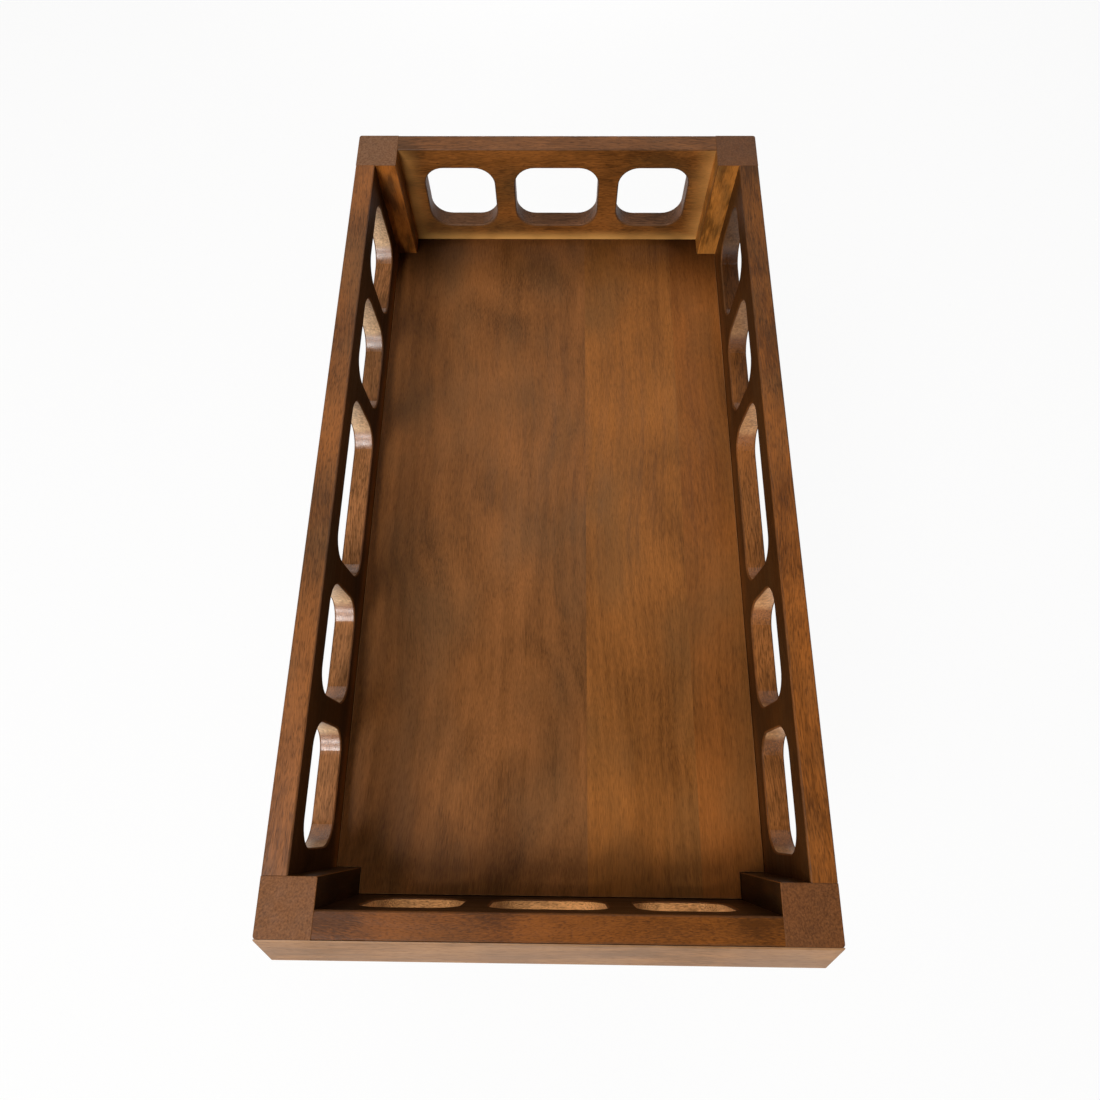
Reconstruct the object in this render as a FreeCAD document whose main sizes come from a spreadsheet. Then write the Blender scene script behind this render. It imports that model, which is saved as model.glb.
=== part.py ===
import FreeCAD, Part
import math
import os
import re

import Sketcher

# A wooden serving trolley on four swivel castors. Four square legs run from the castors to the rim.
# Two trays hang between them, each with four pierced gallery rails dowelled into the legs and a floor
# panel that lies on cleats screwed to the rails. A bevelled grip rail crosses the end that is pushed.
#
# Frame: origin on the ground under the middle of the trolley, +Z up, X across the width and Y along
# the length, with the push end and its grip rail at -Y. All lengths are in millimetres.

SIZES = {
    # Frame
    "frame_width": 400,            # across the outside of the legs
    "frame_length": 730,           # along the outside of the legs
    "rim_height": 760,             # ground to the rim of the upper tray
    "lower_rim_height": 290,       # ground to the rim of the lower tray
    "leg_section": 40,             # side of the square leg
    "leg_edge_radius": 2.5,        # rounding of a leg's outer corner
    # Gallery rails and their windows
    "rail_thickness": 19,
    "tray_depth": 121,             # rim down to the tray floor
    "window_top_margin": 23.5,     # rim down to the top of a window
    "window_sill": 20.5,           # tray floor up to the bottom of a window
    "window_gap": 21.5,            # wood between two windows
    "window_radius": 21,           # rounding of a window's corners
    "side_window_margin": 17,      # leg to the first window of a long rail
    "side_middle_window": 156,     # long window in the middle of a long rail
    "end_window_margin": 21.5,     # leg to the first window of a short rail
    "end_middle_window": 88,       # window in the middle of a short rail
    # Floor panels and cleats
    "floor_thickness": 9,
    "floor_gap": 0.5,              # room round the edge of a floor panel
    "cleat_size": 15,              # side of the square cleat
    "cleat_gap": 0.5,              # room between a cleat's end and the leg
    # Dowels and screws
    "dowel_diameter": 8,
    "dowel_length": 40,
    "dowel_clearance": 0.1,        # radial room of a dowel in its bore
    "dowel_end_gap": 0.5,          # room past each end of a dowel
    "screw_diameter": 3.5,
    "screw_head_diameter": 7,
    "screw_head_height": 2.4,
    "screw_bite": 6,               # length of screw in the rail or the floor
    "screw_clearance": 0.1,        # radial room of a screw in its bore
    # Grip rail
    "grip_projection": 15,         # how far the grip rail stands out from the legs
    "grip_lip": 1,                 # flat top edge of the grip rail
    "grip_nose": 3,                # upright front edge of the grip rail
    "grip_end_cut": 8,             # how far its ends are cut back at the front
    "grip_window_gap": 0.5,        # underside of the grip rail to the windows below it
    "grip_dowel_diameter": 6,
    "grip_dowel_length": 16,
    "grip_dowel_cover": 4,         # wood under a grip dowel
    # Castors
    "wheel_diameter": 50,
    "tyre_width": 18,
    "tyre_depth": 6,               # radial thickness of the tyre
    "tyre_shoulder": 4,            # rounding of the tread's edges
    "tyre_fit": 0.05,              # radial room between tyre and wheel
    "wheel_side_clearance": 1.5,   # tyre to fork cheek
    "wheel_side_play": 0.3,        # wheel boss to fork cheek
    "wheel_boss_diameter": 15,
    "wheel_web": 5,                # thickness of the disc between boss and rim
    "wheel_rim_wall": 3,
    "wheel_rim_inset": 1,          # rim edge in from the tyre's side
    "castor_trail": 16,            # wheel axle behind the swivel axis
    "fork_sheet": 2.5,             # thickness of the fork's cheeks and crown
    "fork_eye": 7.5,               # half width of a cheek round the axle
    "fork_skirt": 6,               # straight part of a cheek below the crown
    "crown_front": 13,             # crown ahead of the swivel axis
    "crown_overhang": 5,           # crown behind the axle
    "axle_diameter": 6,
    "axle_head_diameter": 10,
    "axle_head_height": 2,
    "axle_end_play": 0.1,          # axle head to fork cheek
    "running_clearance": 0.05,     # radial room of a turning pin
    "kingpin_diameter": 8,
    "kingpin_head_diameter": 13,
    "kingpin_head_height": 2.5,
    "swivel_gap": 0.3,             # fork crown to the faces that hold it
    "race_diameter": 30,           # bearing cap between fork and leg
    "race_height": 6,
    "stem_diameter": 10,
    "stem_length": 36,             # stem inside the leg
    "socket_wall": 2.5,
    "socket_headroom": 2,          # socket past the end of the stem
    "socket_clearance": 0.1,       # radial room of stem in socket and socket in leg
    # Brake pedals
    "pedal_side_gap": 0.5,         # pedal to fork cheek
    "pedal_pivot_rise": 5,         # pivot above the tyre
    "pedal_pivot_ahead": 3,        # pivot ahead of the axle
    "pedal_boss": 4,               # half height of the pedal round its pin
    "pedal_headroom": 1,           # pedal to the kingpin head above it
    "pedal_shoe_gap": 1.5,         # brake shoe to the top of the tyre
    "pedal_shoe_start": 5,         # pivot to the front of the shoe's slope
    "pedal_shoe_reach": 16,        # pivot to the shoe's tip
    "pedal_shoe_drop": 6,          # pivot down to the shoe's tip
    "pedal_reach": 40,             # pivot to the end of the tread
    "pedal_lift": 4,               # rise of the tread's end
    "pedal_sheet": 3,              # thickness of the tread
    "brake_pin_diameter": 4,
}

DERIVED = {
    # Frame
    "front_face": "(grip_projection - frame_length) / 2",
    "rear_face": "(grip_projection + frame_length) / 2",
    "right_face": "frame_width / 2",
    "leg_length": "rim_height - castor_height",
    "rail_height": "tray_depth + floor_thickness + cleat_size",
    "side_rail_length": "frame_length - 2 * leg_section",
    "end_rail_length": "frame_width - 2 * leg_section",
    # Windows, measured up from a rail's lower edge
    "window_bottom": "cleat_size + floor_thickness + window_sill",
    "window_top": "rail_height - window_top_margin",
    "side_small_window": "(side_rail_length - 2 * side_window_margin - side_middle_window"
                         " - 4 * window_gap) / 4",
    "end_small_window": "(end_rail_length - 2 * end_window_margin - end_middle_window"
                        " - 2 * window_gap) / 2",
    # Dowels: one above and one below the windows, half in the leg and half in the rail
    "dowel_low": "window_bottom / 2",
    "dowel_high": "rail_height - window_top_margin / 2",
    "dowel_bore": "dowel_diameter / 2 + dowel_clearance",
    "dowel_depth": "dowel_length / 2 + dowel_end_gap",
    # Cleats and screws
    "side_cleat_length": "side_rail_length - 2 * cleat_gap",
    "end_cleat_length": "end_rail_length - 2 * cleat_gap",
    "screw_bore": "screw_diameter / 2 + screw_clearance",
    "screw_length": "cleat_size + screw_bite",
    "screw_depth": "screw_bite + screw_clearance",
    # Grip rail
    "grip_height": "window_top_margin - grip_window_gap",
    "grip_dowel_drop": "grip_height - grip_dowel_cover - grip_dowel_diameter / 2",
    "grip_dowel_bore": "grip_dowel_diameter / 2 + dowel_clearance",
    "grip_dowel_depth": "grip_dowel_length / 2 + dowel_end_gap",
    # Castors, heights above the ground
    "wheel_radius": "wheel_diameter / 2",
    "rim_radius": "wheel_radius - tyre_depth",
    "fork_gap": "tyre_width + 2 * wheel_side_clearance",
    "fork_width": "fork_gap + 2 * fork_sheet",
    "pivot_back": "castor_trail - pedal_pivot_ahead",
    "pivot_height": "wheel_diameter + pedal_pivot_rise",
    "head_bottom": "pivot_height + pedal_boss + pedal_headroom",
    "head_top": "head_bottom + kingpin_head_height",
    "crown_bottom": "head_top + swivel_gap",
    "crown_top": "crown_bottom + fork_sheet",
    "crown_back": "castor_trail + crown_overhang",
    "race_bottom": "crown_top + swivel_gap",
    "castor_height": "race_bottom + race_height",
    "axle_bore": "axle_diameter / 2 + running_clearance",
    "brake_pin_bore": "brake_pin_diameter / 2 + running_clearance",
    "socket_bore": "stem_diameter / 2 + socket_clearance",
    "socket_radius": "socket_bore + socket_wall",
    "socket_length": "stem_length + socket_headroom",
    "castor_inset": "leg_section / 2",
}

SIDE_WINDOWS = ("side_small_window",) * 2 + ("side_middle_window",) + ("side_small_window",) * 2
END_WINDOWS = ("end_small_window", "end_middle_window", "end_small_window")
SIDE_CLEAT_SCREWS = 4
END_CLEAT_SCREWS = 3
GRIP_DOWELS = 4
EYE_ROUNDING = 0.95     # share of the fork's eye that is rounded off
MOST_OF_A_HALF = 0.45   # largest window rounding as a share of the window's height
TOLERANCE = 1e-6        # relative, for lengths that should be equal
NEARBY = 1              # millimetres, for places that should be the same
FULL_TURN = 360

X_AXIS = FreeCAD.Vector(1, 0, 0)
Y_AXIS = FreeCAD.Vector(0, 1, 0)
Z_AXIS = FreeCAD.Vector(0, 0, 1)
ALONG_X = FreeCAD.Rotation(Y_AXIS, 90)
BACK_ALONG_X = FreeCAD.Rotation(Y_AXIS, -90)
ALONG_Y = FreeCAD.Rotation(X_AXIS, -90)
BACK_ALONG_Y = FreeCAD.Rotation(X_AXIS, 90)
UPRIGHT = FreeCAD.Rotation()


def turned(degrees):
    """Rotation about the upright axis."""
    return FreeCAD.Rotation(Z_AXIS, degrees)


# Each tray with the height of its rim above the ground
TRAYS = (("upper", "rim_height"), ("lower", "lower_rim_height"))

# Each corner with the signs of its X and Y and the turn of its leg
CORNERS = (
    ("front_left", -1, -1, 0),
    ("front_right", 1, -1, 90),
    ("rear_right", 1, 1, 180),
    ("rear_left", -1, 1, 270),
)

document = FreeCAD.newDocument("ServingTrolley")
sheet = document.addObject("Spreadsheet::Sheet", "Sizes")
nodes = []


def fill_sheet():
    """Write every driving size to a cell and give the cell its name."""
    for row, (name, size) in enumerate(SIZES.items(), start=1):
        sheet.set(f"A{row}", name)
        sheet.set(f"B{row}", str(size))
        sheet.setAlias(f"B{row}", name)
    document.recompute()


def named(text):
    """Expression with each size in it written as a cell of the sheet."""
    def as_cell(match):
        word = match.group(0)
        if word in DERIVED:
            return "(" + named(DERIVED[word]) + ")"
        if word in SIZES:
            return "Sizes." + word
        return word
    return re.sub(r"[A-Za-z_]\w*", as_cell, text)


def bind(thing, sizes):
    """Tie properties of an object to expressions in the sizes."""
    for key, text in sizes.items():
        thing.setExpression(key, named(text))


def place(thing, x="0", y="0", z="0", rotation=UPRIGHT):
    """Turn an object and tie its position to the sizes."""
    thing.Placement = FreeCAD.Placement(FreeCAD.Vector(), rotation)
    bind(thing, {"Placement.Base.x": x, "Placement.Base.y": y, "Placement.Base.z": z})


def new_body(label):
    """Empty body that becomes a node of the trolley."""
    body = document.addObject("PartDesign::Body", label)
    body.Label = label
    nodes.append(body)
    return body


def group(label, members):
    """Node made of several like solids."""
    compound = document.addObject("Part::Compound", label)
    compound.Label = label
    compound.Links = members
    nodes.append(compound)


def copy_of(template, x, y, z, rotation):
    """One more of a small piece, set in its place."""
    link = document.addObject("App::Link", template.Label + "_copy")
    link.LinkedObject = template
    place(link, x, y, z, rotation)
    return link


def tie(sketch, kind, geometry, point, text):
    """Fix one coordinate of a sketch point to an expression."""
    index = sketch.addConstraint(Sketcher.Constraint(kind, -1, 1, geometry, point, 1))
    bind(sketch, {f"Constraints[{index}]": text})


def draw_loop(sketch, corners):
    """Closed straight-sided outline through corners given as pairs of expressions."""
    count = len(corners)
    first = sketch.GeometryCount
    turn = 2 * math.pi / count
    rough = [FreeCAD.Vector(math.cos(turn * k), math.sin(turn * k), 0) for k in range(count)]
    for k in range(count):
        sketch.addGeometry(Part.LineSegment(rough[k], rough[(k + 1) % count]))
    for k, (across, up) in enumerate(corners):
        following = first + (k + 1) % count
        sketch.addConstraint(Sketcher.Constraint("Coincident", first + k, 2, following, 1))
        tie(sketch, "DistanceX", first + k, 1, across)
        tie(sketch, "DistanceY", first + k, 1, up)


def draw_circle(sketch, across, up, radius):
    """Circle whose centre and radius are expressions."""
    circle = sketch.addGeometry(Part.Circle(FreeCAD.Vector(), Z_AXIS, 1))
    tie(sketch, "DistanceX", circle, 3, across)
    tie(sketch, "DistanceY", circle, 3, up)
    index = sketch.addConstraint(Sketcher.Constraint("Radius", circle, 1))
    bind(sketch, {f"Constraints[{index}]": radius})


def rectangle(left, right, bottom, top):
    """Corners of a rectangle."""
    return [(left, bottom), (right, bottom), (right, top), (left, top)]


def new_sketch(body, plane, offset="0"):
    """Sketch on one of the body's own planes, moved along that plane's normal."""
    support = [face for face in body.Origin.OriginFeatures if face.Role == plane][0]
    sketch = body.newObject("Sketcher::SketchObject", "Outline")
    sketch.AttachmentSupport = [(support, "")]
    sketch.MapMode = "FlatFace"
    bind(sketch, {"AttachmentOffset.Base.z": offset})
    return sketch


def pad(body, sketch, length, reverse=False):
    """Solid drawn out of a sketch."""
    feature = body.newObject("PartDesign::Pad", "Pad")
    feature.Profile = sketch
    feature.Reversed = reverse
    bind(feature, {"Length": length})
    document.recompute()


def cut(body, sketch, depth=None, reverse=False):
    """Pocket from a sketch, right through unless a depth is given."""
    before = body.Shape.Volume
    feature = body.newObject("PartDesign::Pocket", "Pocket")
    feature.Profile = sketch
    feature.Reversed = reverse
    if depth is None:
        feature.Type = "ThroughAll"
    else:
        bind(feature, {"Length": depth})
    document.recompute()
    if not body.Shape.Volume < before:
        raise RuntimeError(f"{body.Label}: a pocket cuts nothing")


def bore(body, plane, centres, radius, depth=None, offset="0", reverse=False):
    """Round holes from one of the body's planes."""
    sketch = new_sketch(body, plane, offset)
    for across, up in centres:
        draw_circle(sketch, across, up, radius)
    cut(body, sketch, depth, reverse)


def revolve(body, corners, axis):
    """Turned solid: corners are across and up in the XZ plane, axis is H_Axis or V_Axis."""
    sketch = new_sketch(body, "XZ_Plane")
    draw_loop(sketch, corners)
    feature = body.newObject("PartDesign::Revolution", "Turned")
    feature.Profile = sketch
    feature.ReferenceAxis = (sketch, [axis])
    feature.Angle = FULL_TURN
    document.recompute()


def round_edges(body, radius, chosen):
    """Fillet on the edges of the body so far that the test picks."""
    base = body.Tip
    edges = enumerate(base.Shape.Edges, start=1)
    picked = [f"Edge{number}" for number, edge in edges if chosen(edge)]
    feature = body.newObject("PartDesign::Fillet", "Fillet")
    feature.Base = (base, picked)
    bind(feature, {"Radius": radius})
    document.recompute()


def runs_along(edge, axis):
    """Whether an edge is straight and parallel to an axis."""
    if len(edge.Vertexes) < 2:
        return False
    step = edge.Vertexes[1].Point - edge.Vertexes[0].Point
    return math.isclose(abs(step.dot(axis)), edge.Length, rel_tol=TOLERANCE)


def signed(sign, text):
    """Expression on one side or the other of the middle."""
    return f"{sign} * ({text})"


def stations(length, count, start="0"):
    """Places that share a length evenly, half a step in from its ends."""
    return [f"{start} + ({length}) * {2 * k + 1} / {2 * count}" for k in range(count)]


def midways(length, count, start="0"):
    """Places halfway between those stations."""
    return [f"{start} + ({length}) * {k} / {count}" for k in range(1, count)]


def window_spans(margin, widths):
    """Start and end of each window along a rail."""
    spans = []
    start = margin
    for width in widths:
        end = f"{start} + {width}"
        spans.append((start, end))
        start = f"{end} + window_gap"
    return spans


def make_leg(corner, side, end, turn):
    """Square leg with dowel bores for the rails of both trays and a bore for the castor socket."""
    body = new_body(f"leg_{corner}")
    section = new_sketch(body, "XY_Plane")
    draw_loop(section, rectangle("0", "leg_section", "0", "leg_section"))
    pad(body, section, "leg_length")
    round_edges(
        body, "leg_edge_radius",
        lambda edge: runs_along(edge, Z_AXIS) and math.hypot(*edge.CenterOfMass[:2]) < NEARBY,
    )
    levels = [
        f"{rim} - castor_height - rail_height + {level}"
        for tray, rim in TRAYS
        for level in ("dowel_low", "dowel_high")
    ]
    centres = [("rail_thickness / 2", level) for level in levels]
    bore(body, "YZ_Plane", centres, "dowel_bore", "dowel_depth", "leg_section")
    bore(body, "XZ_Plane", centres, "dowel_bore", "dowel_depth", "-leg_section", reverse=True)
    bore(body, "XY_Plane", [("castor_inset", "castor_inset")], "socket_radius + socket_clearance",
         "socket_length", reverse=True)
    place(body, signed(side, "right_face"), "front_face" if end < 0 else "rear_face",
          "castor_height", turned(turn))


def make_rail(label, length, spans, screws, grip=False):
    """Gallery rail along X with its inner face at y = 0: windows, dowel bores and pilot holes."""
    body = new_body(label)
    board = new_sketch(body, "XZ_Plane")
    draw_loop(board, rectangle("0", length, "0", "rail_height"))
    pad(body, board, "rail_thickness", reverse=True)
    openings = new_sketch(body, "XZ_Plane")
    for start, end in spans:
        draw_loop(openings, rectangle(start, end, "window_bottom", "window_top"))
    cut(body, openings)
    ends = (body.Shape.BoundBox.XMin, body.Shape.BoundBox.XMax)
    round_edges(
        body, f"min(window_radius; {MOST_OF_A_HALF} * (window_top - window_bottom))",
        lambda edge: runs_along(edge, Y_AXIS)
        and min(abs(edge.CenterOfMass.x - x) for x in ends) > NEARBY,
    )
    centres = [("rail_thickness / 2", level) for level in ("dowel_low", "dowel_high")]
    bore(body, "YZ_Plane", centres, "dowel_bore", "dowel_depth", reverse=True)
    bore(body, "YZ_Plane", centres, "dowel_bore", "dowel_depth", length)
    pilots = [(x, "cleat_size / 2") for x in stations(length, screws)]
    bore(body, "XZ_Plane", pilots, "screw_bore", "screw_depth")
    if grip:
        pegs = [(x, "rail_height - grip_dowel_drop") for x in stations(length, GRIP_DOWELS)]
        bore(body, "XZ_Plane", pegs, "grip_dowel_bore", "grip_dowel_depth", "-rail_thickness",
             reverse=True)
    return body


def make_rails(tray, rim):
    """The four gallery rails of a tray, each with its inner face towards the middle."""
    side_spans = window_spans("side_window_margin", SIDE_WINDOWS)
    end_spans = window_spans("end_window_margin", END_WINDOWS)
    level = f"{rim} - rail_height"
    inner = "right_face - rail_thickness"
    left = make_rail(f"{tray}_rail_left", "side_rail_length", side_spans, SIDE_CLEAT_SCREWS)
    place(left, signed(-1, inner), "front_face + leg_section", level, turned(90))
    right = make_rail(f"{tray}_rail_right", "side_rail_length", side_spans, SIDE_CLEAT_SCREWS)
    place(right, inner, "rear_face - leg_section", level, turned(-90))
    front = make_rail(f"{tray}_rail_front", "end_rail_length", end_spans, END_CLEAT_SCREWS,
                      grip=tray == "upper")
    place(front, "end_rail_length / 2", "front_face + rail_thickness", level, turned(180))
    rear = make_rail(f"{tray}_rail_rear", "end_rail_length", end_spans, END_CLEAT_SCREWS)
    place(rear, "-end_rail_length / 2", "rear_face - rail_thickness", level)


def floor_screw_places():
    """Where screws enter a floor panel from its cleats, from the middle of the panel."""
    beside = "right_face - rail_thickness - cleat_size / 2"
    across = "frame_length / 2 - rail_thickness - cleat_size / 2"
    places = []
    for sign in (-1, 1):
        along = midways("side_rail_length", SIDE_CLEAT_SCREWS, "-side_rail_length / 2")
        places += [(signed(sign, beside), y) for y in along]
        along = midways("end_rail_length", END_CLEAT_SCREWS, "-end_rail_length / 2")
        places += [(x, signed(sign, across)) for x in along]
    return places


def make_floor(tray, rim):
    """Floor panel, notched round the legs, with pilot holes in its underside."""
    body = new_body(f"{tray}_floor_panel")
    wide = "(right_face - rail_thickness - floor_gap)"
    narrow = "(right_face - leg_section - floor_gap)"
    long = "(frame_length / 2 - rail_thickness - floor_gap)"
    short = "(frame_length / 2 - leg_section - floor_gap)"
    quarter = [(narrow, long), (narrow, short), (wide, short)]
    corners = []
    for side, end, order in ((1, 1, 1), (1, -1, -1), (-1, -1, 1), (-1, 1, -1)):
        corners += [(signed(side, x), signed(end, y)) for x, y in quarter[::order]]
    outline = new_sketch(body, "XY_Plane")
    draw_loop(outline, corners)
    pad(body, outline, "floor_thickness")
    bore(body, "XY_Plane", floor_screw_places(), "screw_bore", "screw_depth", reverse=True)
    place(body, y="(front_face + rear_face) / 2", z=f"{rim} - tray_depth - floor_thickness")


def make_cleat(label, length, rail_length, screws):
    """Cleat along X with its back against a rail at y = 0 and bores for both rows of screws."""
    body = new_body(label)
    section = new_sketch(body, "XY_Plane")
    draw_loop(section, rectangle("0", length, "-cleat_size", "0"))
    pad(body, section, "cleat_size")
    level = [(x, "cleat_size / 2") for x in stations(rail_length, screws, "-cleat_gap")]
    bore(body, "XZ_Plane", level, "screw_bore", offset="cleat_size")
    upright = [(x, "-cleat_size / 2") for x in midways(rail_length, screws, "-cleat_gap")]
    bore(body, "XY_Plane", upright, "screw_bore", reverse=True)
    return body


def make_cleats(tray, rim):
    """The four cleats under a floor panel, lower edges level with the rails."""
    level = f"{rim} - rail_height"
    inner = "right_face - rail_thickness"
    along = ("side_cleat_length", "side_rail_length", SIDE_CLEAT_SCREWS)
    across = ("end_cleat_length", "end_rail_length", END_CLEAT_SCREWS)
    left = make_cleat(f"{tray}_cleat_left", *along)
    place(left, signed(-1, inner), "front_face + leg_section + cleat_gap", level, turned(90))
    right = make_cleat(f"{tray}_cleat_right", *along)
    place(right, inner, "rear_face - leg_section - cleat_gap", level, turned(-90))
    front = make_cleat(f"{tray}_cleat_front", *across)
    place(front, "end_cleat_length / 2", "front_face + rail_thickness", level, turned(180))
    rear = make_cleat(f"{tray}_cleat_rear", *across)
    place(rear, "-end_cleat_length / 2", "rear_face - rail_thickness", level)


def make_screw():
    """Pan-head screw along +Z, the underside of its head at z = 0."""
    body = document.addObject("PartDesign::Body", "screw")
    revolve(body, [
        ("0", "-screw_head_height"),
        ("(screw_head_diameter - screw_head_height) / 2", "-screw_head_height"),
        ("screw_head_diameter / 2", "-screw_head_height / 2"),
        ("screw_head_diameter / 2", "0"),
        ("screw_diameter / 2", "0"),
        ("screw_diameter / 2", "screw_length"),
        ("0", "screw_length"),
    ], "V_Axis")
    return body


def make_dowel(label, diameter, length):
    """Plain dowel along +Z from the origin."""
    dowel = document.addObject("Part::Cylinder", label)
    bind(dowel, {"Radius": f"{diameter} / 2", "Height": length})
    return dowel


def make_rail_dowels(tray, rim, dowel):
    """Dowels between the four legs and the rails of a tray."""
    members = []
    for corner, side, end, turn in CORNERS:
        face = "front_face" if end < 0 else "rear_face"
        end_rail_x = signed(side, "end_rail_length / 2") + " - dowel_length / 2"
        end_rail_y = f"{face} - " + signed(end, "rail_thickness / 2")
        side_rail_x = signed(side, "right_face - rail_thickness / 2")
        side_rail_y = f"{face} - " + signed(end, "leg_section") + " - dowel_length / 2"
        for level in ("dowel_low", "dowel_high"):
            height = f"{rim} - rail_height + {level}"
            members.append(copy_of(dowel, end_rail_x, end_rail_y, height, ALONG_X))
            members.append(copy_of(dowel, side_rail_x, side_rail_y, height, ALONG_Y))
    group(f"{tray}_rail_dowels", members)


def make_cleat_screws(tray, rim, screw):
    """Screws through the cleats into the rails, and up through the cleats into the floor panel."""
    bottom = f"{rim} - rail_height"
    height = f"{bottom} + cleat_size / 2"
    middle = "(front_face + rear_face) / 2"
    beside = "right_face - rail_thickness - cleat_size"
    level = []
    for y in stations("side_rail_length", SIDE_CLEAT_SCREWS, "front_face + leg_section"):
        level.append(copy_of(screw, signed(-1, beside), y, height, BACK_ALONG_X))
        level.append(copy_of(screw, beside, y, height, ALONG_X))
    for x in stations("end_rail_length", END_CLEAT_SCREWS, "-end_rail_length / 2"):
        level.append(copy_of(screw, x, "front_face + rail_thickness + cleat_size", height, BACK_ALONG_Y))
        level.append(copy_of(screw, x, "rear_face - rail_thickness - cleat_size", height, ALONG_Y))
    group(f"{tray}_cleat_screws", level)
    upright = [copy_of(screw, x, f"{middle} + {y}", bottom, UPRIGHT) for x, y in floor_screw_places()]
    group(f"{tray}_floor_screws", upright)


def make_grip_rail():
    """Grip rail across the push end: ends cut back, face bevelled, pegged to the upper front rail."""
    body = new_body("grip_rail")
    plan = new_sketch(body, "XY_Plane")
    draw_loop(plan, [
        ("-right_face", "0"),
        ("grip_end_cut - right_face", "-grip_projection"),
        ("right_face - grip_end_cut", "-grip_projection"),
        ("right_face", "0"),
    ])
    pad(body, plan, "grip_height")
    bevel = new_sketch(body, "YZ_Plane", "-right_face")
    draw_loop(bevel, [
        ("-grip_lip", "grip_height"),
        ("-grip_projection", "grip_nose"),
        ("-grip_projection", "grip_height"),
    ])
    cut(body, bevel, reverse=True)
    pegs = stations("end_rail_length", GRIP_DOWELS, "-end_rail_length / 2")
    bore(body, "XZ_Plane", [(x, "grip_height - grip_dowel_drop") for x in pegs], "grip_dowel_bore",
         "grip_dowel_depth", reverse=True)
    place(body, y="front_face", z="rim_height - grip_height")
    dowel = make_dowel("grip_dowel", "grip_dowel_diameter", "grip_dowel_length")
    group("grip_rail_dowels", [
        copy_of(dowel, x, "front_face - grip_dowel_length / 2", "rim_height - grip_dowel_drop", ALONG_Y)
        for x in pegs
    ])


def make_socket(label):
    """Steel sleeve in the foot of a leg."""
    body = new_body(label)
    top = "castor_height + socket_length"
    revolve(body, rectangle("socket_bore", "socket_radius", "castor_height", top), "V_Axis")
    return body


def make_stem(label):
    """Fixed half of a castor: stem, bearing cap and the kingpin that holds the fork."""
    body = new_body(label)
    top = "castor_height + stem_length"
    revolve(body, [
        ("0", "head_bottom"),
        ("kingpin_head_diameter / 2", "head_bottom"),
        ("kingpin_head_diameter / 2", "head_top"),
        ("kingpin_diameter / 2", "head_top"),
        ("kingpin_diameter / 2", "race_bottom"),
        ("race_diameter / 2", "race_bottom"),
        ("race_diameter / 2", "castor_height"),
        ("stem_diameter / 2", "castor_height"),
        ("stem_diameter / 2", top),
        ("0", top),
    ], "V_Axis")
    return body


def make_fork(label, braked):
    """Swivelling fork: crown plate and two cheeks, with the wheel's slot open below."""
    body = new_body(label)
    side = new_sketch(body, "YZ_Plane", "-fork_width / 2")
    draw_loop(side, [
        ("-crown_front", "crown_top"),
        ("-crown_front", "crown_bottom - fork_skirt"),
        ("castor_trail - fork_eye", "wheel_radius"),
        ("castor_trail - fork_eye", "wheel_radius - fork_eye"),
        ("castor_trail + fork_eye", "wheel_radius - fork_eye"),
        ("castor_trail + fork_eye", "wheel_radius"),
        ("crown_back", "crown_bottom - fork_skirt"),
        ("crown_back", "crown_top"),
    ])
    pad(body, side, "fork_width")
    low = body.Shape.BoundBox.ZMin
    round_edges(
        body, f"{EYE_ROUNDING} * fork_eye",
        lambda edge: runs_along(edge, X_AXIS) and abs(edge.CenterOfMass.z - low) < NEARBY,
    )
    slot = new_sketch(body, "XZ_Plane", "crown_front + fork_sheet")
    draw_loop(slot, rectangle("-fork_gap / 2", "fork_gap / 2", "0", "crown_bottom"))
    cut(body, slot)
    bore(body, "XY_Plane", [("0", "0")], "kingpin_diameter / 2 + running_clearance", reverse=True)
    bore(body, "YZ_Plane", [("castor_trail", "wheel_radius")], "axle_bore", offset="-fork_width / 2",
         reverse=True)
    if braked:
        bore(body, "YZ_Plane", [("pivot_back", "pivot_height")], "brake_pin_bore",
             offset="-fork_width / 2", reverse=True)
    return body


def make_axle(label):
    """Axle across the fork, headed at both ends."""
    body = new_body(label)
    shoulder = "(fork_width / 2 + axle_end_play)"
    end = f"({shoulder} + axle_head_height)"
    revolve(body, [
        (f"-{end}", "0"),
        (f"-{end}", "axle_head_diameter / 2"),
        (f"-{shoulder}", "axle_head_diameter / 2"),
        (f"-{shoulder}", "axle_diameter / 2"),
        (shoulder, "axle_diameter / 2"),
        (shoulder, "axle_head_diameter / 2"),
        (end, "axle_head_diameter / 2"),
        (end, "0"),
    ], "H_Axis")
    return body


def make_wheel(label):
    """Wheel: boss on the axle, disc and rim."""
    body = new_body(label)
    boss = "(fork_gap / 2 - wheel_side_play)"
    rim = "(tyre_width / 2 - wheel_rim_inset)"
    inner_rim = "rim_radius - wheel_rim_wall"
    half = [
        (boss, "axle_bore"),
        (boss, "wheel_boss_diameter / 2"),
        ("wheel_web / 2", "wheel_boss_diameter / 2"),
        ("wheel_web / 2", inner_rim),
        (rim, inner_rim),
        (rim, "rim_radius"),
    ]
    other_half = [(signed(-1, across), up) for across, up in reversed(half)]
    revolve(body, half + other_half, "H_Axis")
    return body


def make_tyre(label):
    """Solid tyre with rounded shoulders."""
    body = new_body(label)
    revolve(body, rectangle("-tyre_width / 2", "tyre_width / 2", "rim_radius + tyre_fit", "wheel_radius"),
            "H_Axis")
    outside = body.Shape.BoundBox.ZMax
    round_edges(
        body, "tyre_shoulder",
        lambda edge: edge.Curve.TypeId == "Part::GeomCircle"
        and math.isclose(edge.Curve.Radius, outside, rel_tol=TOLERANCE),
    )
    return body


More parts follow.
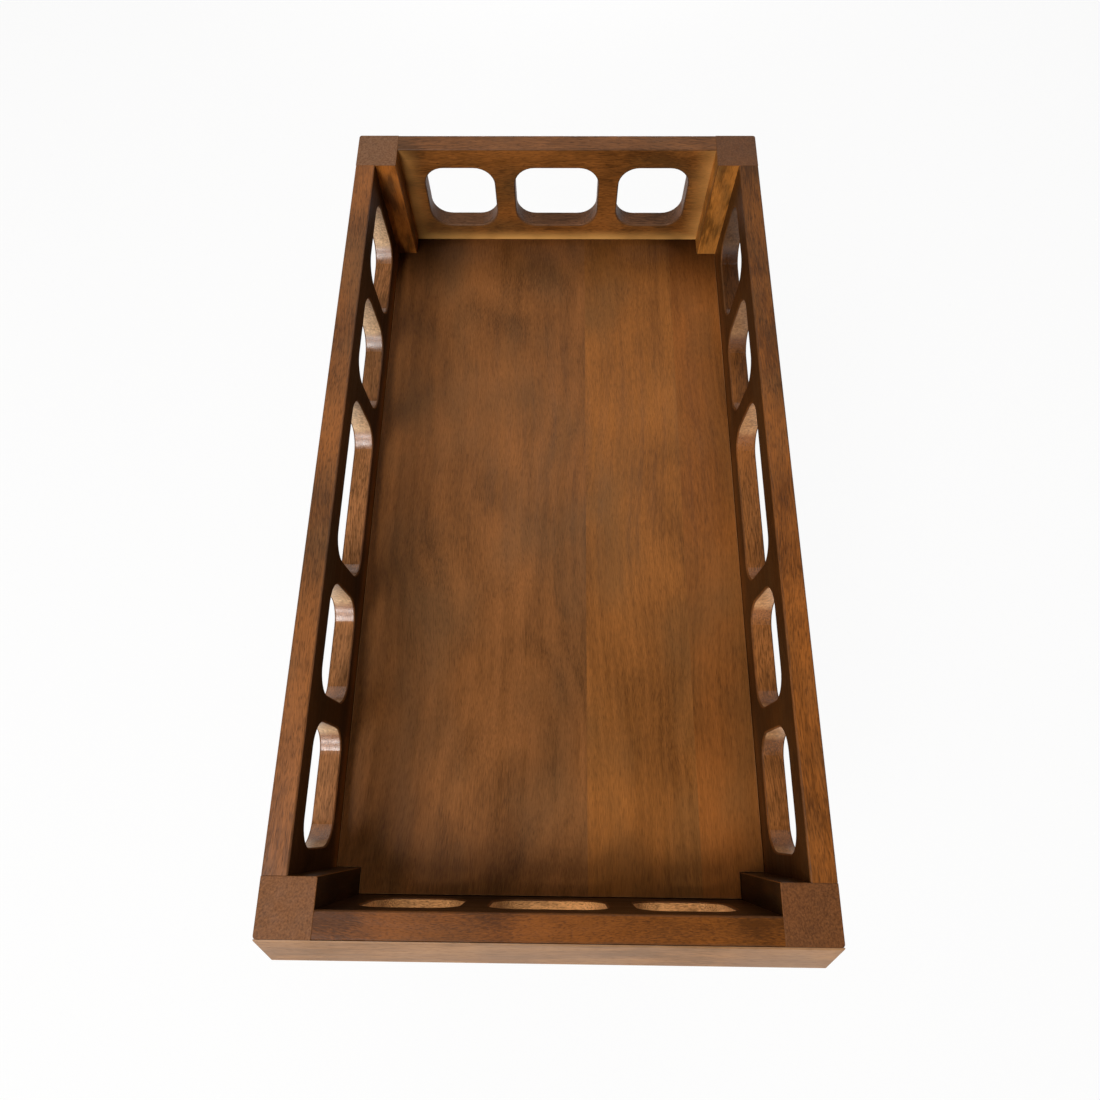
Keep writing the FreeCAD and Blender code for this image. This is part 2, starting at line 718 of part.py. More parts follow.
def make_brake_pedal(label):
    """Brake pedal about its pin: boss, shoe over the tyre and a tread behind."""
    body = new_body(label)
    width = "(fork_gap - 2 * pedal_side_gap)"
    side = new_sketch(body, "YZ_Plane", f"-{width} / 2")
    draw_loop(side, [
        ("-pedal_boss", "pedal_shoe_gap - pedal_pivot_rise"),
        ("pedal_shoe_start", "pedal_shoe_gap - pedal_pivot_rise"),
        ("pedal_shoe_reach", "-pedal_shoe_drop"),
        ("pedal_shoe_reach + pedal_sheet", "pedal_boss - 2 * pedal_sheet"),
        ("pedal_reach", "pedal_lift"),
        ("pedal_reach", "pedal_lift + pedal_sheet"),
        ("pedal_shoe_reach", "pedal_boss"),
        ("-pedal_boss", "pedal_boss"),
    ])
    pad(body, side, width)
    bore(body, "YZ_Plane", [("0", "0")], "brake_pin_bore", offset=f"-{width} / 2", reverse=True)
    return body


def make_brake_pin(label):
    """Pin that carries the pedal between the fork's cheeks."""
    pin = document.addObject("Part::Cylinder", label)
    pin.Label = label
    bind(pin, {"Radius": "brake_pin_diameter / 2", "Height": "fork_width"})
    nodes.append(pin)
    return pin


def make_castor(corner, side, end, braked):
    """One swivel castor, at rest with its wheel trailing in under the trolley."""
    x = signed(side, "right_face - castor_inset")
    y = f"{'front_face' if end < 0 else 'rear_face'} - {signed(end, 'castor_inset')}"
    inward = turned(0 if end < 0 else 180)
    axle_y = f"{y} - {signed(end, 'castor_trail')}"
    pivot_y = f"{y} - {signed(end, 'pivot_back')}"
    place(make_socket(f"castor_socket_{corner}"), x, y)
    place(make_stem(f"castor_stem_{corner}"), x, y)
    place(make_fork(f"castor_fork_{corner}", braked), x, y, rotation=inward)
    place(make_axle(f"castor_axle_{corner}"), x, axle_y, "wheel_radius")
    place(make_wheel(f"castor_wheel_{corner}"), x, axle_y, "wheel_radius")
    place(make_tyre(f"castor_tyre_{corner}"), x, axle_y, "wheel_radius")
    if braked:
        place(make_brake_pedal(f"brake_pedal_{corner}"), x, pivot_y, "pivot_height", inward)
        place(make_brake_pin(f"brake_pin_{corner}"), f"{x} - fork_width / 2", pivot_y, "pivot_height",
              ALONG_X)


def check_document():
    """Stop if any object failed or any node has a bad shape."""
    for item in document.Objects:
        if "Invalid" in item.State or "Error" in item.State:
            raise RuntimeError(f"{item.Label}: {item.State}")
    for node in nodes:
        if node.Shape.isNull() or not node.Shape.isValid():
            raise RuntimeError(f"{node.Label}: bad shape")


def main():
    """Build every piece, check the document and write one file for each node."""
    fill_sheet()
    screw = make_screw()
    dowel = make_dowel("rail_dowel", "dowel_diameter", "dowel_length")
    for corner, side, end, turn in CORNERS:
        make_leg(corner, side, end, turn)
    for tray, rim in TRAYS:
        make_rails(tray, rim)
        make_floor(tray, rim)
        make_cleats(tray, rim)
        make_rail_dowels(tray, rim, dowel)
        make_cleat_screws(tray, rim, screw)
    make_grip_rail()
    for corner, side, end, turn in CORNERS:
        make_castor(corner, side, end, braked=end < 0)
    document.recompute()
    check_document()
    os.makedirs("parts", exist_ok=True)
    for node in nodes:
        node.Shape.exportStep(f"parts/{node.Label}.step")
        box = node.Shape.BoundBox
        print(f"{node.Label}: {len(node.Shape.Solids)} solids, {node.Shape.Volume:.0f} mm3,"
              f" {box.XLength:.1f} x {box.YLength:.1f} x {box.ZLength:.1f} mm")


main()
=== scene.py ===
"""Studio picture of a walnut-stained serving trolley on castors.

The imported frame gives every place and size. Lengths are metres in the trolley's own frame, unless a class
says millimetres: X across its width, Y along its length away from the push end, Z up from the ground.
"""

import logging
import math
from collections.abc import Callable, Iterator, Sequence
from dataclasses import dataclass, replace
from enum import Enum
from functools import cache, partial

import bmesh
import bpy
from bmesh.types import BMEdge, BMesh, BMVert
from bpy.types import Material, Node, NodeSocket, NodeTree, World
from mathutils import Euler, Matrix, Vector


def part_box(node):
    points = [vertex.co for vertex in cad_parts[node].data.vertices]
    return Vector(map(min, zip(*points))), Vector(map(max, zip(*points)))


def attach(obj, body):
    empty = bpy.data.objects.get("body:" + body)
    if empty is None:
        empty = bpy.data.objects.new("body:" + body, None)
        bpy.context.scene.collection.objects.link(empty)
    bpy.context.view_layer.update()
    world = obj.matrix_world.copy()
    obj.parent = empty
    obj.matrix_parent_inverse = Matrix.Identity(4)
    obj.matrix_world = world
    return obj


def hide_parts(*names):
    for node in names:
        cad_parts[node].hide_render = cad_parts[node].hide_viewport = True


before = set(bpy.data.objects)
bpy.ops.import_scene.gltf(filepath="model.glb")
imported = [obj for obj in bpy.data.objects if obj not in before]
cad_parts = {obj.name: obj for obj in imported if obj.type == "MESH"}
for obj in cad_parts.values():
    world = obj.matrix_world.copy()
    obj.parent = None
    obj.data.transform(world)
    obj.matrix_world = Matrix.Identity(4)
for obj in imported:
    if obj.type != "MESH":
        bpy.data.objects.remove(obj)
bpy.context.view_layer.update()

MM = 0.001
SAME = 1e-6                     # metres, for places that should be equal
SHARP = math.radians(40)        # least turn between two faces that counts as an edge
EASED = "eased_edge"            # face mark that the wood's finish reads
BOARD_STEP = 1.37               # metres along the log from one board to the next
DARK_SHARE, WARM_SHARE = 0.5, 1.4               # light of a board's dark and warm tones, against its middle
GREY_SHARE, GREY_LIFT = 0.75, (4, 12, 14)       # how a stain greys, in steps of sRGB
UPPER_AIM, LOW_AIM = (0.0, 0.0, 0.70), (0.0, 0.0, 0.28)     # what lamps point at: the upper and lower tray
WHITE = (1.0, 1.0, 1.0, 1.0)
LOG = logging.getLogger("serving_trolley")
Point = tuple[float, float, float]
FlatPoint = tuple[float, float]
Outline = Sequence[FlatPoint]
AddNode = Callable[..., Node]


class Grain(Enum):
    """Which way the wood's fibres run, as the turn that brings that way onto the texture's Y axis."""

    ACROSS = (0.0, 0.0, math.pi / 2)
    ALONG = (0.0, 0.0, 0.0)
    UPRIGHT = (-math.pi / 2, 0.0, 0.0)

    @property
    def axis(self) -> int:
        """Number of the frame axis that the fibres follow."""
        return list(Grain).index(self)


class Labelled(Enum):
    """Places on the trolley that nodes are named after."""

    @property
    def label(self) -> str:
        """The place's part of a node's name."""
        return self.name.lower()


class Corner(Labelled):
    """The four corners of the trolley, as their signs along X and Y."""

    FRONT_LEFT = (-1, -1)
    FRONT_RIGHT = (1, -1)
    REAR_RIGHT = (1, 1)
    REAR_LEFT = (-1, 1)

    @property
    def braked(self) -> bool:
        """Whether this corner's castor has a brake pedal."""
        return self.value[1] < 0


def linear(code: str) -> tuple[float, float, float, float]:
    """Turns an sRGB hex colour into linear RGBA.

    Args:
        code: Colour such as "#7e4e2a".

    Returns:
        Linear red, green and blue with an alpha of 1.
    """
    shades = [int(code[i:i + 2], 16) / 255 for i in (1, 3, 5)]
    red, green, blue = (s / 12.92 if s <= 0.04045 else ((s + 0.055) / 1.055) ** 2.4 for s in shades)
    return red, green, blue, 1.0


def shade(code: str, factor: float) -> str:
    """Makes a hex colour darker or lighter.

    Args:
        code: Colour such as "#7e4e2a".
        factor: Share of its linear light that is kept, over 1 for a lighter colour.

    Returns:
        The new hex colour.
    """
    scaled = [min(1.0, c * factor) for c in linear(code)[:3]]
    coded = (12.92 * c if c <= 0.0031308 else 1.055 * c ** (1 / 2.4) - 0.055 for c in scaled)
    return "#" + "".join(f"{round(255 * c):02x}" for c in coded)


def tones(stain: str) -> dict[str, str]:
    """Spreads one stain into the dark, middle and warm tones of a board, and a greyed one.

    Args:
        stain: Hex colour of the middle tone.

    Returns:
        The fields of the finish that hold the tones.
    """
    shades = (int(stain[i:i + 2], 16) for i in (1, 3, 5))
    grey = "#" + "".join(f"{round(GREY_SHARE * s + lift):02x}" for s, lift in zip(shades, GREY_LIFT))
    return {"dark": shade(stain, DARK_SHARE), "middle": stain, "warm": shade(stain, WARM_SHARE), "grey": grey}


def add_node(tree: NodeTree, kind: str, inputs: dict | tuple = (), **settings: object) -> Node:
    """Adds one shader node, with its settings and links.

    Args:
        tree: Node tree that takes the node.
        kind: Blender's name of the node type, after "ShaderNode".
        inputs: What feeds its sockets, in their order or by their names or numbers: a constant, an output
            socket, or a node, whose first output in use is meant.
        settings: Properties of the node itself.

    Returns:
        The new node.
    """
    node = tree.nodes.new("ShaderNode" + kind)
    for name, value in settings.items():
        setattr(node, name, value)
    for socket, value in inputs.items() if isinstance(inputs, dict) else enumerate(inputs):
        if isinstance(value, Node):
            value = next(output for output in value.outputs if output.enabled)
        if isinstance(value, NodeSocket):
            tree.links.new(value, node.inputs[socket])
        else:
            node.inputs[socket].default_value = value
    return node


def start_nodes(owner: Material | World) -> AddNode:
    """Empties the node tree of a new material or world.

    Args:
        owner: The material or the world.

    Returns:
        What adds a node to that tree.
    """
    owner.use_nodes = True
    owner.node_tree.nodes.clear()
    return partial(add_node, owner.node_tree)


@dataclass(frozen=True)
class StainedHardwood:
    """Open-pored hardwood, planed and sanded, wiped with walnut stain and sealed with thin satin lacquer.

    The stain gathers in the pores and dries in cloudy tones, so the eye sees warm brown streaks with short
    dark dashes along the fibres, greyer in places. End grain drinks more stain and stays duller and
    speckled. Along the eased edges the stain is darker. Some boards also carry painted shade towards a far
    corner, and a painted glow of bounced light along the foot of an inside face.

    Each board is cut from a solid texture shaped like a log, so its faces and ends agree. A span is the
    size of a patch in metres, as (across the fibres, along the fibres).
    """

    name: str
    grain: Grain = Grain.ALONG
    middle_of_board: Point = (0.0, 0.0, 0.0)
    from_heart: FlatPoint = (40 * MM, 90 * MM)
    along_log: float = 0.0
    dark: str = "#53300f"
    middle: str = "#784518"
    warm: str = "#8e5521"
    pore: str = "#2a1608"
    end_dark: str = "#4c3120"
    end_pale: str = "#8a6547"
    grey: str = "#5c442c"
    edge: str = "#45301f"
    # Painted glow along the foot of an inside face: light bounced off the floor.
    rubbed: str = "#a8794a"
    # Share of the light kept under the painted shade towards a far corner.
    pooled: str = "#5c5450"
    roughness: float = 0.38
    specular: float = 0.22
    cloud: FlatPoint = (45 * MM, 80 * MM)
    streak: FlatPoint = (7 * MM, 300 * MM)
    fibre: FlatPoint = (0.9 * MM, 20 * MM)
    # True pores are about 0.2 mm across, too fine for the picture, so they are drawn 0.7 mm across.
    vessel: FlatPoint = (0.7 * MM, 6 * MM)
    fleck: FlatPoint = (1.5 * MM, 60 * MM)
    bend: FlatPoint = (150 * MM, 300 * MM)
    bend_reach: float = 40 * MM
    ring_spacing: float = 7 * MM
    cloud_depth: float = 1.0
    ring_depth: float = 0.04
    streak_depth: float = 0.18
    fibre_depth: float = 0.70
    pore_depth: float = 0.28
    grey_depth: float = 0.5
    edge_depth: float = 0.5
    end_depth: float = 0.75
    end_dulling: float = 0.15
    # Where the painted glow lies, how wide it is, and where it starts towards the ends.
    rubbed_height: float | None = None
    rubbed_band: float = 22 * MM
    rubbed_from: float | None = None
    # Where the painted shade towards a far corner ends, and how far it reaches.
    pooled_end: FlatPoint | None = None
    pooled_band: FlatPoint = (70 * MM, 100 * MM)
    bump_height: float = 0.15 * MM
    pore_relief: float = -1.5

    # The stretch of a noise, or of the turn to the fibres, over which each effect comes in.
    TONES = (0.27, 0.5, 0.73)
    GREYED = (0.45, 0.7)
    IN_PORE = (0.55, 0.68)
    ON_END = (0.75, 0.95)
    SPECKLED = (0.3, 0.7)
    PATCHY = (0.35, 0.65)
    POLISHED = (0.3, 0.7)
    UNEVEN = (0.35, 0.6)
    # Least and most of an edge's stain and of the painted glow, and how far the lacquer's roughness swings.
    EDGE_SHARES = (0.3, 1.0)
    RUB_SHARES = (0.35, 1.0)
    POLISH = (-0.05, 0.07)
    # Least share of the painted shade beside the end, and what the side and the end each add to it.
    POOL_LEAST, POOL_SIDE, POOL_END = 0.05, 0.7, 0.55
    # Share of the painted glow's band that lies below the floor, and the most that a board's ends glow.
    RUB_BELOW, RUB_ENDS = 0.3, 0.6
    BUMP = 0.45

    def build(self) -> Material:
        """Makes the wood's material.

        Returns:
            The material, with colour, roughness and bump from one solid texture.
        """
        material = bpy.data.materials.new(self.name)
        add = start_nodes(material)
        coords = add("TexCoord").outputs
        place = self._place_in_log(add, coords["Object"])
        clouds = self._figure(add, place, self.cloud).outputs["Color"]
        cloud, grey, _ = add("SeparateColor", (clouds,)).outputs
        streak = self._figure(add, place, self.streak)
        fibre = self._figure(add, place, self.fibre)
        vessel = self._figure(add, place, self.vessel, detail=0.0)
        fleck = self._figure(add, place, self.fleck, detail=6.0)
        # The wave texture repeats every 2 pi / 20 of its scaled distance from the heart.
        ring = add("TexWave", {
            "Vector": place, "Scale": 2 * math.pi / 20 / self.ring_spacing, "Distortion": 2.5, "Detail": 2.0,
            "Detail Scale": 0.6}, wave_type="RINGS", rings_direction="Y").outputs["Fac"]

        layers = ((cloud, self.cloud_depth), (ring, self.ring_depth), (streak, self.streak_depth),
                  (fibre, self.fibre_depth))
        tone: Node | float = 0.5 - sum(depth for _, depth in layers) / 2
        for layer, depth in layers:
            tone = add("Math", (layer, depth, tone), operation="MULTIPLY_ADD")
        colour = add("ValToRGB", (tone,))
        stops = colour.color_ramp.elements
        stops.new(self.TONES[1])
        for stop, spot, stain in zip(stops, self.TONES, (self.dark, self.middle, self.warm)):
            stop.position = spot
            stop.color = linear(stain)

        greyed = add("MapRange", (grey, *self.GREYED, 0.0, self.grey_depth))
        pores = add("MapRange", (vessel, *self.IN_PORE, 0.0, self.pore_depth))
        facing = add("SeparateXYZ", (coords["Normal"],)).outputs[self.grain.axis]
        turned = add("Math", (facing,), operation="ABSOLUTE")
        on_end = add("MapRange", (turned, *self.ON_END))
        drunk = add("Math", (on_end, self.end_depth), operation="MULTIPLY")
        speckle = add("MapRange", (fleck, *self.SPECKLED))
        speckled = add("Mix", {0: speckle, 6: linear(self.end_dark), 7: linear(self.end_pale)},
                       data_type="RGBA")
        eased = add("Attribute", attribute_name=EASED).outputs["Fac"]
        patchy = add("MapRange", (streak, *self.PATCHY, *(s * self.edge_depth for s in self.EDGE_SHARES)))
        on_edge = add("Math", (eased, patchy), operation="MULTIPLY")
        stains = [(greyed, linear(self.grey), "MIX"), (pores, linear(self.pore), "MIX"),
                  (drunk, speckled, "MIX"), (on_edge, linear(self.edge), "MIX")]
        # Painted shade darkens the board towards the corners at its far end.
        if self.pooled_end is not None:
            stains.append((self._pooled(add, coords["Object"]), linear(self.pooled), "MULTIPLY"))
        # A painted glow of bounced light brightens the foot of an inside face.
        if self.rubbed_height is not None:
            stains.append((self._rubbed(add, coords["Object"], cloud), linear(self.rubbed), "MIX"))
        for share, stain, blend in stains:
            colour = add("Mix", {0: share, 6: colour, 7: stain}, data_type="RGBA", blend_type=blend)

        polish = add("MapRange", (streak, *self.POLISHED, *(self.roughness + s for s in self.POLISH)))
        dull = add("Math", (on_end, self.end_dulling, polish), operation="MULTIPLY_ADD")
        relief = add("Math", (pores, self.pore_relief, fibre), operation="MULTIPLY_ADD")
        bump = add("Bump", {"Strength": self.BUMP, "Distance": self.bump_height, "Height": relief})
        shader = add("BsdfPrincipled", {
            "Base Color": colour, "Roughness": dull, "IOR": 1.5, "Specular IOR Level": self.specular,
            "Normal": bump})
        add("OutputMaterial", (shader,))
        return material

    def _pooled(self, add: AddNode, place: NodeSocket) -> Node:
        """Finds how much painted shade falls where the board meets an upright one at its far end.

        Args:
            add: Adds a node to the material.
            place: Point in the trolley's frame.

        Returns:
            Share of the painted shade, most in the two corners.
        """
        across, along, _ = add("SeparateXYZ", (place,)).outputs
        out = add("Math", (across,), operation="ABSOLUTE")
        at_side, at_end = (add("MapRange", (way, end - band, end))
                           for way, end, band in zip((out, along), self.pooled_end, self.pooled_band))
        most = add("Math", (at_side, self.POOL_SIDE, self.POOL_LEAST), operation="MULTIPLY_ADD")
        most = add("Math", (at_end, self.POOL_END, most), operation="MULTIPLY_ADD", use_clamp=True)
        return add("Math", (at_end, most), operation="MULTIPLY")

    def _rubbed(self, add: AddNode, place: NodeSocket, cloud: NodeSocket) -> Node:
        """Finds how much painted glow, light bounced off the floor, brightens the board's foot, and its ends
        if they glow too.

        Args:
            add: Adds a node to the material.
            place: Point in the trolley's frame.
            cloud: Noise that makes the glow uneven.

        Returns:
            Share of the glow's tone.
        """
        ways = add("SeparateXYZ", (place,)).outputs
        foot, band = self.rubbed_height, self.rubbed_band
        rub = add("MapRange", (ways[2], foot - self.RUB_BELOW * band, foot + band, 1.0, 0.0),
                  interpolation_type="SMOOTHSTEP")
        if self.rubbed_from is not None:
            axis = self.grain.axis
            off = add("Math", (ways[axis], self.middle_of_board[axis]), operation="SUBTRACT")
            out = add("Math", (off,), operation="ABSOLUTE")
            start = self.rubbed_from
            ends = add("MapRange", (out, start, start + 2 * band, 0.0, self.RUB_ENDS),
                       interpolation_type="SMOOTHSTEP")
            rub = add("Math", (rub, ends), operation="MAXIMUM")
        uneven = add("MapRange", (cloud, *self.UNEVEN, *self.RUB_SHARES))
        return add("Math", (rub, uneven), operation="MULTIPLY")

    def _place_in_log(self, add: AddNode, place: NodeSocket) -> Node:
        """Finds where in the log a point of the board was, with the fibres wandering a little.

        Args:
            add: Adds a node to the material.
            place: Point in the trolley's frame.

        Returns:
            Point in the log, with its heart along Y.
        """
        across, deep = self.from_heart
        own = add("VectorMath", (place, self.middle_of_board), operation="SUBTRACT")
        log = add("Mapping", (own, (across, self.along_log, deep), self.grain.value))
        bend = self._figure(add, log, self.bend, detail=1.0).outputs["Color"]
        centred = add("VectorMath", (bend, (0.5, 0.5, 0.5)), operation="SUBTRACT")
        wander = add("VectorMath", (centred, (self.bend_reach, 0.0, self.bend_reach)), operation="MULTIPLY")
        return add("VectorMath", (log, wander), operation="ADD")

    @staticmethod
    def _figure(add: AddNode, place: Node, span: FlatPoint, detail: float = 2.0) -> Node:
        """Adds figure drawn out along the fibres.

        Args:
            add: Adds a node to the material.
            place: Texture coordinate, with the fibres along Y.
            span: Size of a patch across and along the fibres.
            detail: How many finer layers it has.

        Returns:
            The noise that makes the figure.
        """
        across, along = span
        drawn = add("VectorMath", (place, (1.0, across / along, 1.0)), operation="MULTIPLY")
        return add("TexNoise", {"Vector": drawn, "Scale": 1 / across, "Detail": detail, "Roughness": 0.55})


@dataclass(frozen=True)
class FineTexture:
    """An evenly coloured finish with faint mottling and a fine, broken surface."""

    name: str
    colour: str
    bloom: str
    roughness: float
    grit: float
    grit_height: float
    metallic: float = 0.0
    ior: float = 1.5
    mottle: float = 9 * MM

    # The stretch of the noise over which the gloss changes, and how far the roughness swings.
    MOTTLED = (0.3, 0.7)
    GLOSS = (-0.05, 0.08)
    BUMP = 0.4

    def build(self) -> Material:
        """Makes the finish's material.

        Returns:
            The material, with mottled colour, broken gloss and a fine bump.
        """
        material = bpy.data.materials.new(self.name)
        add = start_nodes(material)
        place = add("TexCoord").outputs["Object"]
        patches = add("TexNoise", {"Vector": place, "Scale": 1 / self.mottle, "Detail": 4.0})
        colour = add("Mix", {0: patches, 6: linear(self.colour), 7: linear(self.bloom)}, data_type="RGBA")
        gloss = add("MapRange", (patches, *self.MOTTLED, *(self.roughness + s for s in self.GLOSS)))
        grit = add("TexNoise", {"Vector": place, "Scale": 1 / self.grit, "Detail": 2.0})
        bump = add("Bump", {"Strength": self.BUMP, "Distance": self.grit_height, "Height": grit})
        shader = add("BsdfPrincipled", {
            "Base Color": colour, "Roughness": gloss, "Metallic": self.metallic, "IOR": self.ior,
            "Normal": bump})
        add("OutputMaterial", (shader,))
        return material


Finish = StainedHardwood | FineTexture

# Solid hardwood under walnut stain: the finish of every board that shows.
WALNUT = StainedHardwood("walnut_stained_hardwood")
# Polyester powder baked onto pressed steel: black, with soft orange-peel highlights.
POWDER_COAT = FineTexture("black_powder_coated_steel", "#131315", "#1d1d20", 0.40, 0.7 * MM, 0.03 * MM)
# Bright zinc plate on turned steel: a grey metal whose bloom breaks up its reflections.
ZINC_PLATE = FineTexture("zinc_plated_steel", "#a3a5a8", "#84888e", 0.30, 0.4 * MM, 0.01 * MM, metallic=1.0)
# Nylon moulded in a spark-eroded tool: near black, with a fine dull grain.
NYLON = FineTexture("moulded_black_nylon", "#17171a", "#232326", 0.48, 0.5 * MM, 0.02 * MM, ior=1.53)
# Black rubber moulded round the wheel: charcoal and dull, with a dusty bloom.
RUBBER = FineTexture("moulded_black_rubber", "#3d3e41", "#4c4d50", 0.70, 0.8 * MM, 0.03 * MM, ior=1.52)
# Turned beech, left raw inside its joint: pale and plain.
BEECH = StainedHardwood("turned_beech", dark="#b58a5e", middle="#c9a173", warm="#d6b287", pore="#9a7048",
                        end_dark="#a47c52", end_pale="#c6a078")


@cache
def material_of(finish: Finish) -> Material:
    """The finish's material, made when it is first wanted."""
    return finish.build()


def new_piece(node: str, ending: str, shape: BMesh, body: str, slot: str, *finishes: Finish) -> None:
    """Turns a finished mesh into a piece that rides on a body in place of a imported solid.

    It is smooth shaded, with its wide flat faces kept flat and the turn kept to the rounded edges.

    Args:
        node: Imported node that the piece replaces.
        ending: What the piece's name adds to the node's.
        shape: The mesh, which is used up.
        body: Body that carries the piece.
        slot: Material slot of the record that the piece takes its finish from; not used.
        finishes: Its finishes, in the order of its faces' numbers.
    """
    name = f"{node}_{ending}"
    mesh = bpy.data.meshes.new(name)
    bmesh.ops.recalc_face_normals(shape, faces=shape.faces)
    for edge in shape.edges:
        edge.smooth = edge.is_manifold and edge.calc_face_angle() < SHARP
    shape.to_mesh(mesh)
    shape.free()
    for face in mesh.polygons:
        face.use_smooth = True
    for finish in finishes:
        mesh.materials.append(material_of(finish))
    piece = bpy.data.objects.new(name, mesh)
    bpy.context.scene.collection.objects.link(piece)
    piece.modifiers.new("flat_faces_stay_flat", "WEIGHTED_NORMAL").keep_sharp = True
    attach(piece, body)
    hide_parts(node)
    LOG.info("built %s on %s", name, body)


def dress_node(node: str, finish: Finish) -> None:
    """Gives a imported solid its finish.

    Args:
        node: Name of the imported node.
        finish: Finish of all its faces.
    """
    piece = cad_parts[node]
    piece.data.materials.clear()
    piece.data.materials.append(material_of(finish))
    LOG.info("dressed %s", node)


def ease_edges(shape: BMesh, width: float, wanted: Callable[[BMEdge], bool] = lambda edge: True) -> None:
    """Rounds the wanted sharp edges and marks the new faces for the edges' own tone.

    Args:
        shape: Mesh to change.
        width: How far the rounding reaches from the edge.
        wanted: Tells which of the sharp edges are rounded.
    """
    bmesh.ops.recalc_face_normals(shape, faces=shape.faces)
    edges = [e for e in shape.edges if e.is_manifold and e.calc_face_angle() > SHARP and wanted(e)]
    mark = shape.faces.layers.float.get(EASED) or shape.faces.layers.float.new(EASED)
    result = bmesh.ops.bevel(shape, geom=edges, offset=width, offset_type="OFFSET", segments=3,
                             profile=0.5, affect="EDGES", clamp_overlap=True)
    for face in result["faces"]:
        face[mark] = 1.0


def add_prism(shape: BMesh, *sections: list[Point]) -> None:
    """Adds a closed prism through outlines that match point for point.

    Args:
        shape: Mesh that takes the prism.
        sections: The outlines from one end to the other.
    """
    rings = [[shape.verts.new(p) for p in section] for section in sections]
    shape.faces.new(rings[0])
    shape.faces.new(list(reversed(rings[-1])))
    for near, far in zip(rings, rings[1:]):
        for i in range(len(near)):
            shape.faces.new((near[i - 1], far[i - 1], far[i], near[i]))


def upright_prism(outline: Outline, *heights: float) -> BMesh:
    """Makes a prism that stands upright.

    Args:
        outline: Its outline, seen from above.
        heights: Its foot, its top and the heights between at which its sides are divided, from low to high.

    Returns:
        The prism's mesh.
    """
    shape = bmesh.new()
    add_prism(shape, *([(x, y, z) for x, y in outline] for z in heights))
    return shape


def add_turning(shape: BMesh, profile: Outline, to_place: Matrix, steps: int,
                closed: bool = False) -> list[list[BMVert]]:
    """Adds a turned solid.

    Args:
        shape: Mesh that takes the solid.
        profile: (distance from the axis, distance along it) of each point of its outline.
        to_place: Carries the turning axis Z and its origin to their place.
        steps: How many flats go round.
        closed: Whether the outline closes on itself, as a ring's does, and not on the axis.

    Returns:
        The vertices round each point of the outline.
    """
    rings = []
    angles = [2 * math.pi * i / steps for i in range(steps)]
    for radius, along in profile:
        if radius < SAME:
            rings.append([shape.verts.new(to_place @ Vector((0.0, 0.0, along)))] * steps)
            continue
        rings.append([shape.verts.new(to_place @ Vector((radius * math.cos(a), radius * math.sin(a), along)))
                      for a in angles])
    for low, high in zip(rings, rings[1:] + rings[:1] if closed else rings[1:]):
        for i in range(steps):
            j = (i + 1) % steps
            shape.faces.new(list(dict.fromkeys((low[i], low[j], high[j], high[i]))))
    return rings


def mirrored(half: Outline) -> Outline:
    """Completes a turned outline that is the same on both sides of its middle."""
    return [*half, *((out, -along) for out, along in reversed(half))]


def arc(centre: FlatPoint, radius: float, start: float, end: float, steps: int) -> Outline:
    """Points on an arc.

    Args:
        centre: Its centre.
        radius: Its radius.
        start: First angle in degrees.
        end: Last angle in degrees.
        steps: How many straight lines make it up.

    Returns:
        The points, both ends included.
    """
    angles = [math.radians(start + (end - start) * i / steps) for i in range(steps + 1)]
    return [(centre[0] + radius * math.cos(a), centre[1] + radius * math.sin(a)) for a in angles]


def middle_of(node: str) -> Point:
    """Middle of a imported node's box."""
    low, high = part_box(node)
    return tuple((low + high) / 2)


def across_at(node: str) -> Matrix:
    """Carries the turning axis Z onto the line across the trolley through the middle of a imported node."""
    return Matrix.Translation(middle_of(node)) @ Matrix.Rotation(math.pi / 2, 4, "Y")


def board(node: str, grain: Grain, number: int, **changes: object) -> StainedHardwood:
    """Cuts a board of walnut-stained wood from its own place in the log.

    Args:
        node: Node that the board makes.
        grain: Which way its fibres run.
        number: Its number, which sets how far along the log it was cut.
        changes: Fields of the finish that differ on this board.

    Returns:
        The board's finish.
    """
    return replace(WALNUT, name="walnut_stained_" + node, grain=grain, middle_of_board=middle_of(node),
                   along_log=BOARD_STEP * number, **changes)


@dataclass(frozen=True)
class WindowRow:
    """The pierced windows of one gallery rail, set out along it from its left or near end."""

    margin: float
    widths: tuple[float, ...]
    web: float = 21.5 * MM
    below_rim: float = 23.5 * MM
    height: float = 77.0 * MM
    radius: float = 21.0 * MM

    def spans(self) -> Iterator[FlatPoint]:
        """Sets out the windows.

        Yields:
            Where each starts and ends along the rail.
        """
        start = self.margin
        for width in self.widths:
            yield start, start + width
            start += width + self.web


SIDE_WINDOWS = WindowRow(17.0 * MM, (93.5 * MM, 93.5 * MM, 156.0 * MM, 93.5 * MM, 93.5 * MM))
END_WINDOWS = WindowRow(21.5 * MM, (73.0 * MM, 88.0 * MM, 73.0 * MM))


@dataclass(frozen=True)
class RailMake:
    """How a rail is made: its fibres' way, its windows, its five tones and its shine.

    The tones are for its outside, its inside, the sills and then the jambs of its windows, and the foot of
    its inside. The inside tone is painted shade, painted light on the far rail; the sill and jamb tones are
    painted light where light reaches them and painted shade on the far rail; the foot tone is a painted glow.
    """

    grain: Grain
    windows: WindowRow
    outside: str
    inside: str
    sill: str
    jamb: str
    rubbed: str
    sheen: float = 0.1
    jamb_sheen: float = 0.1


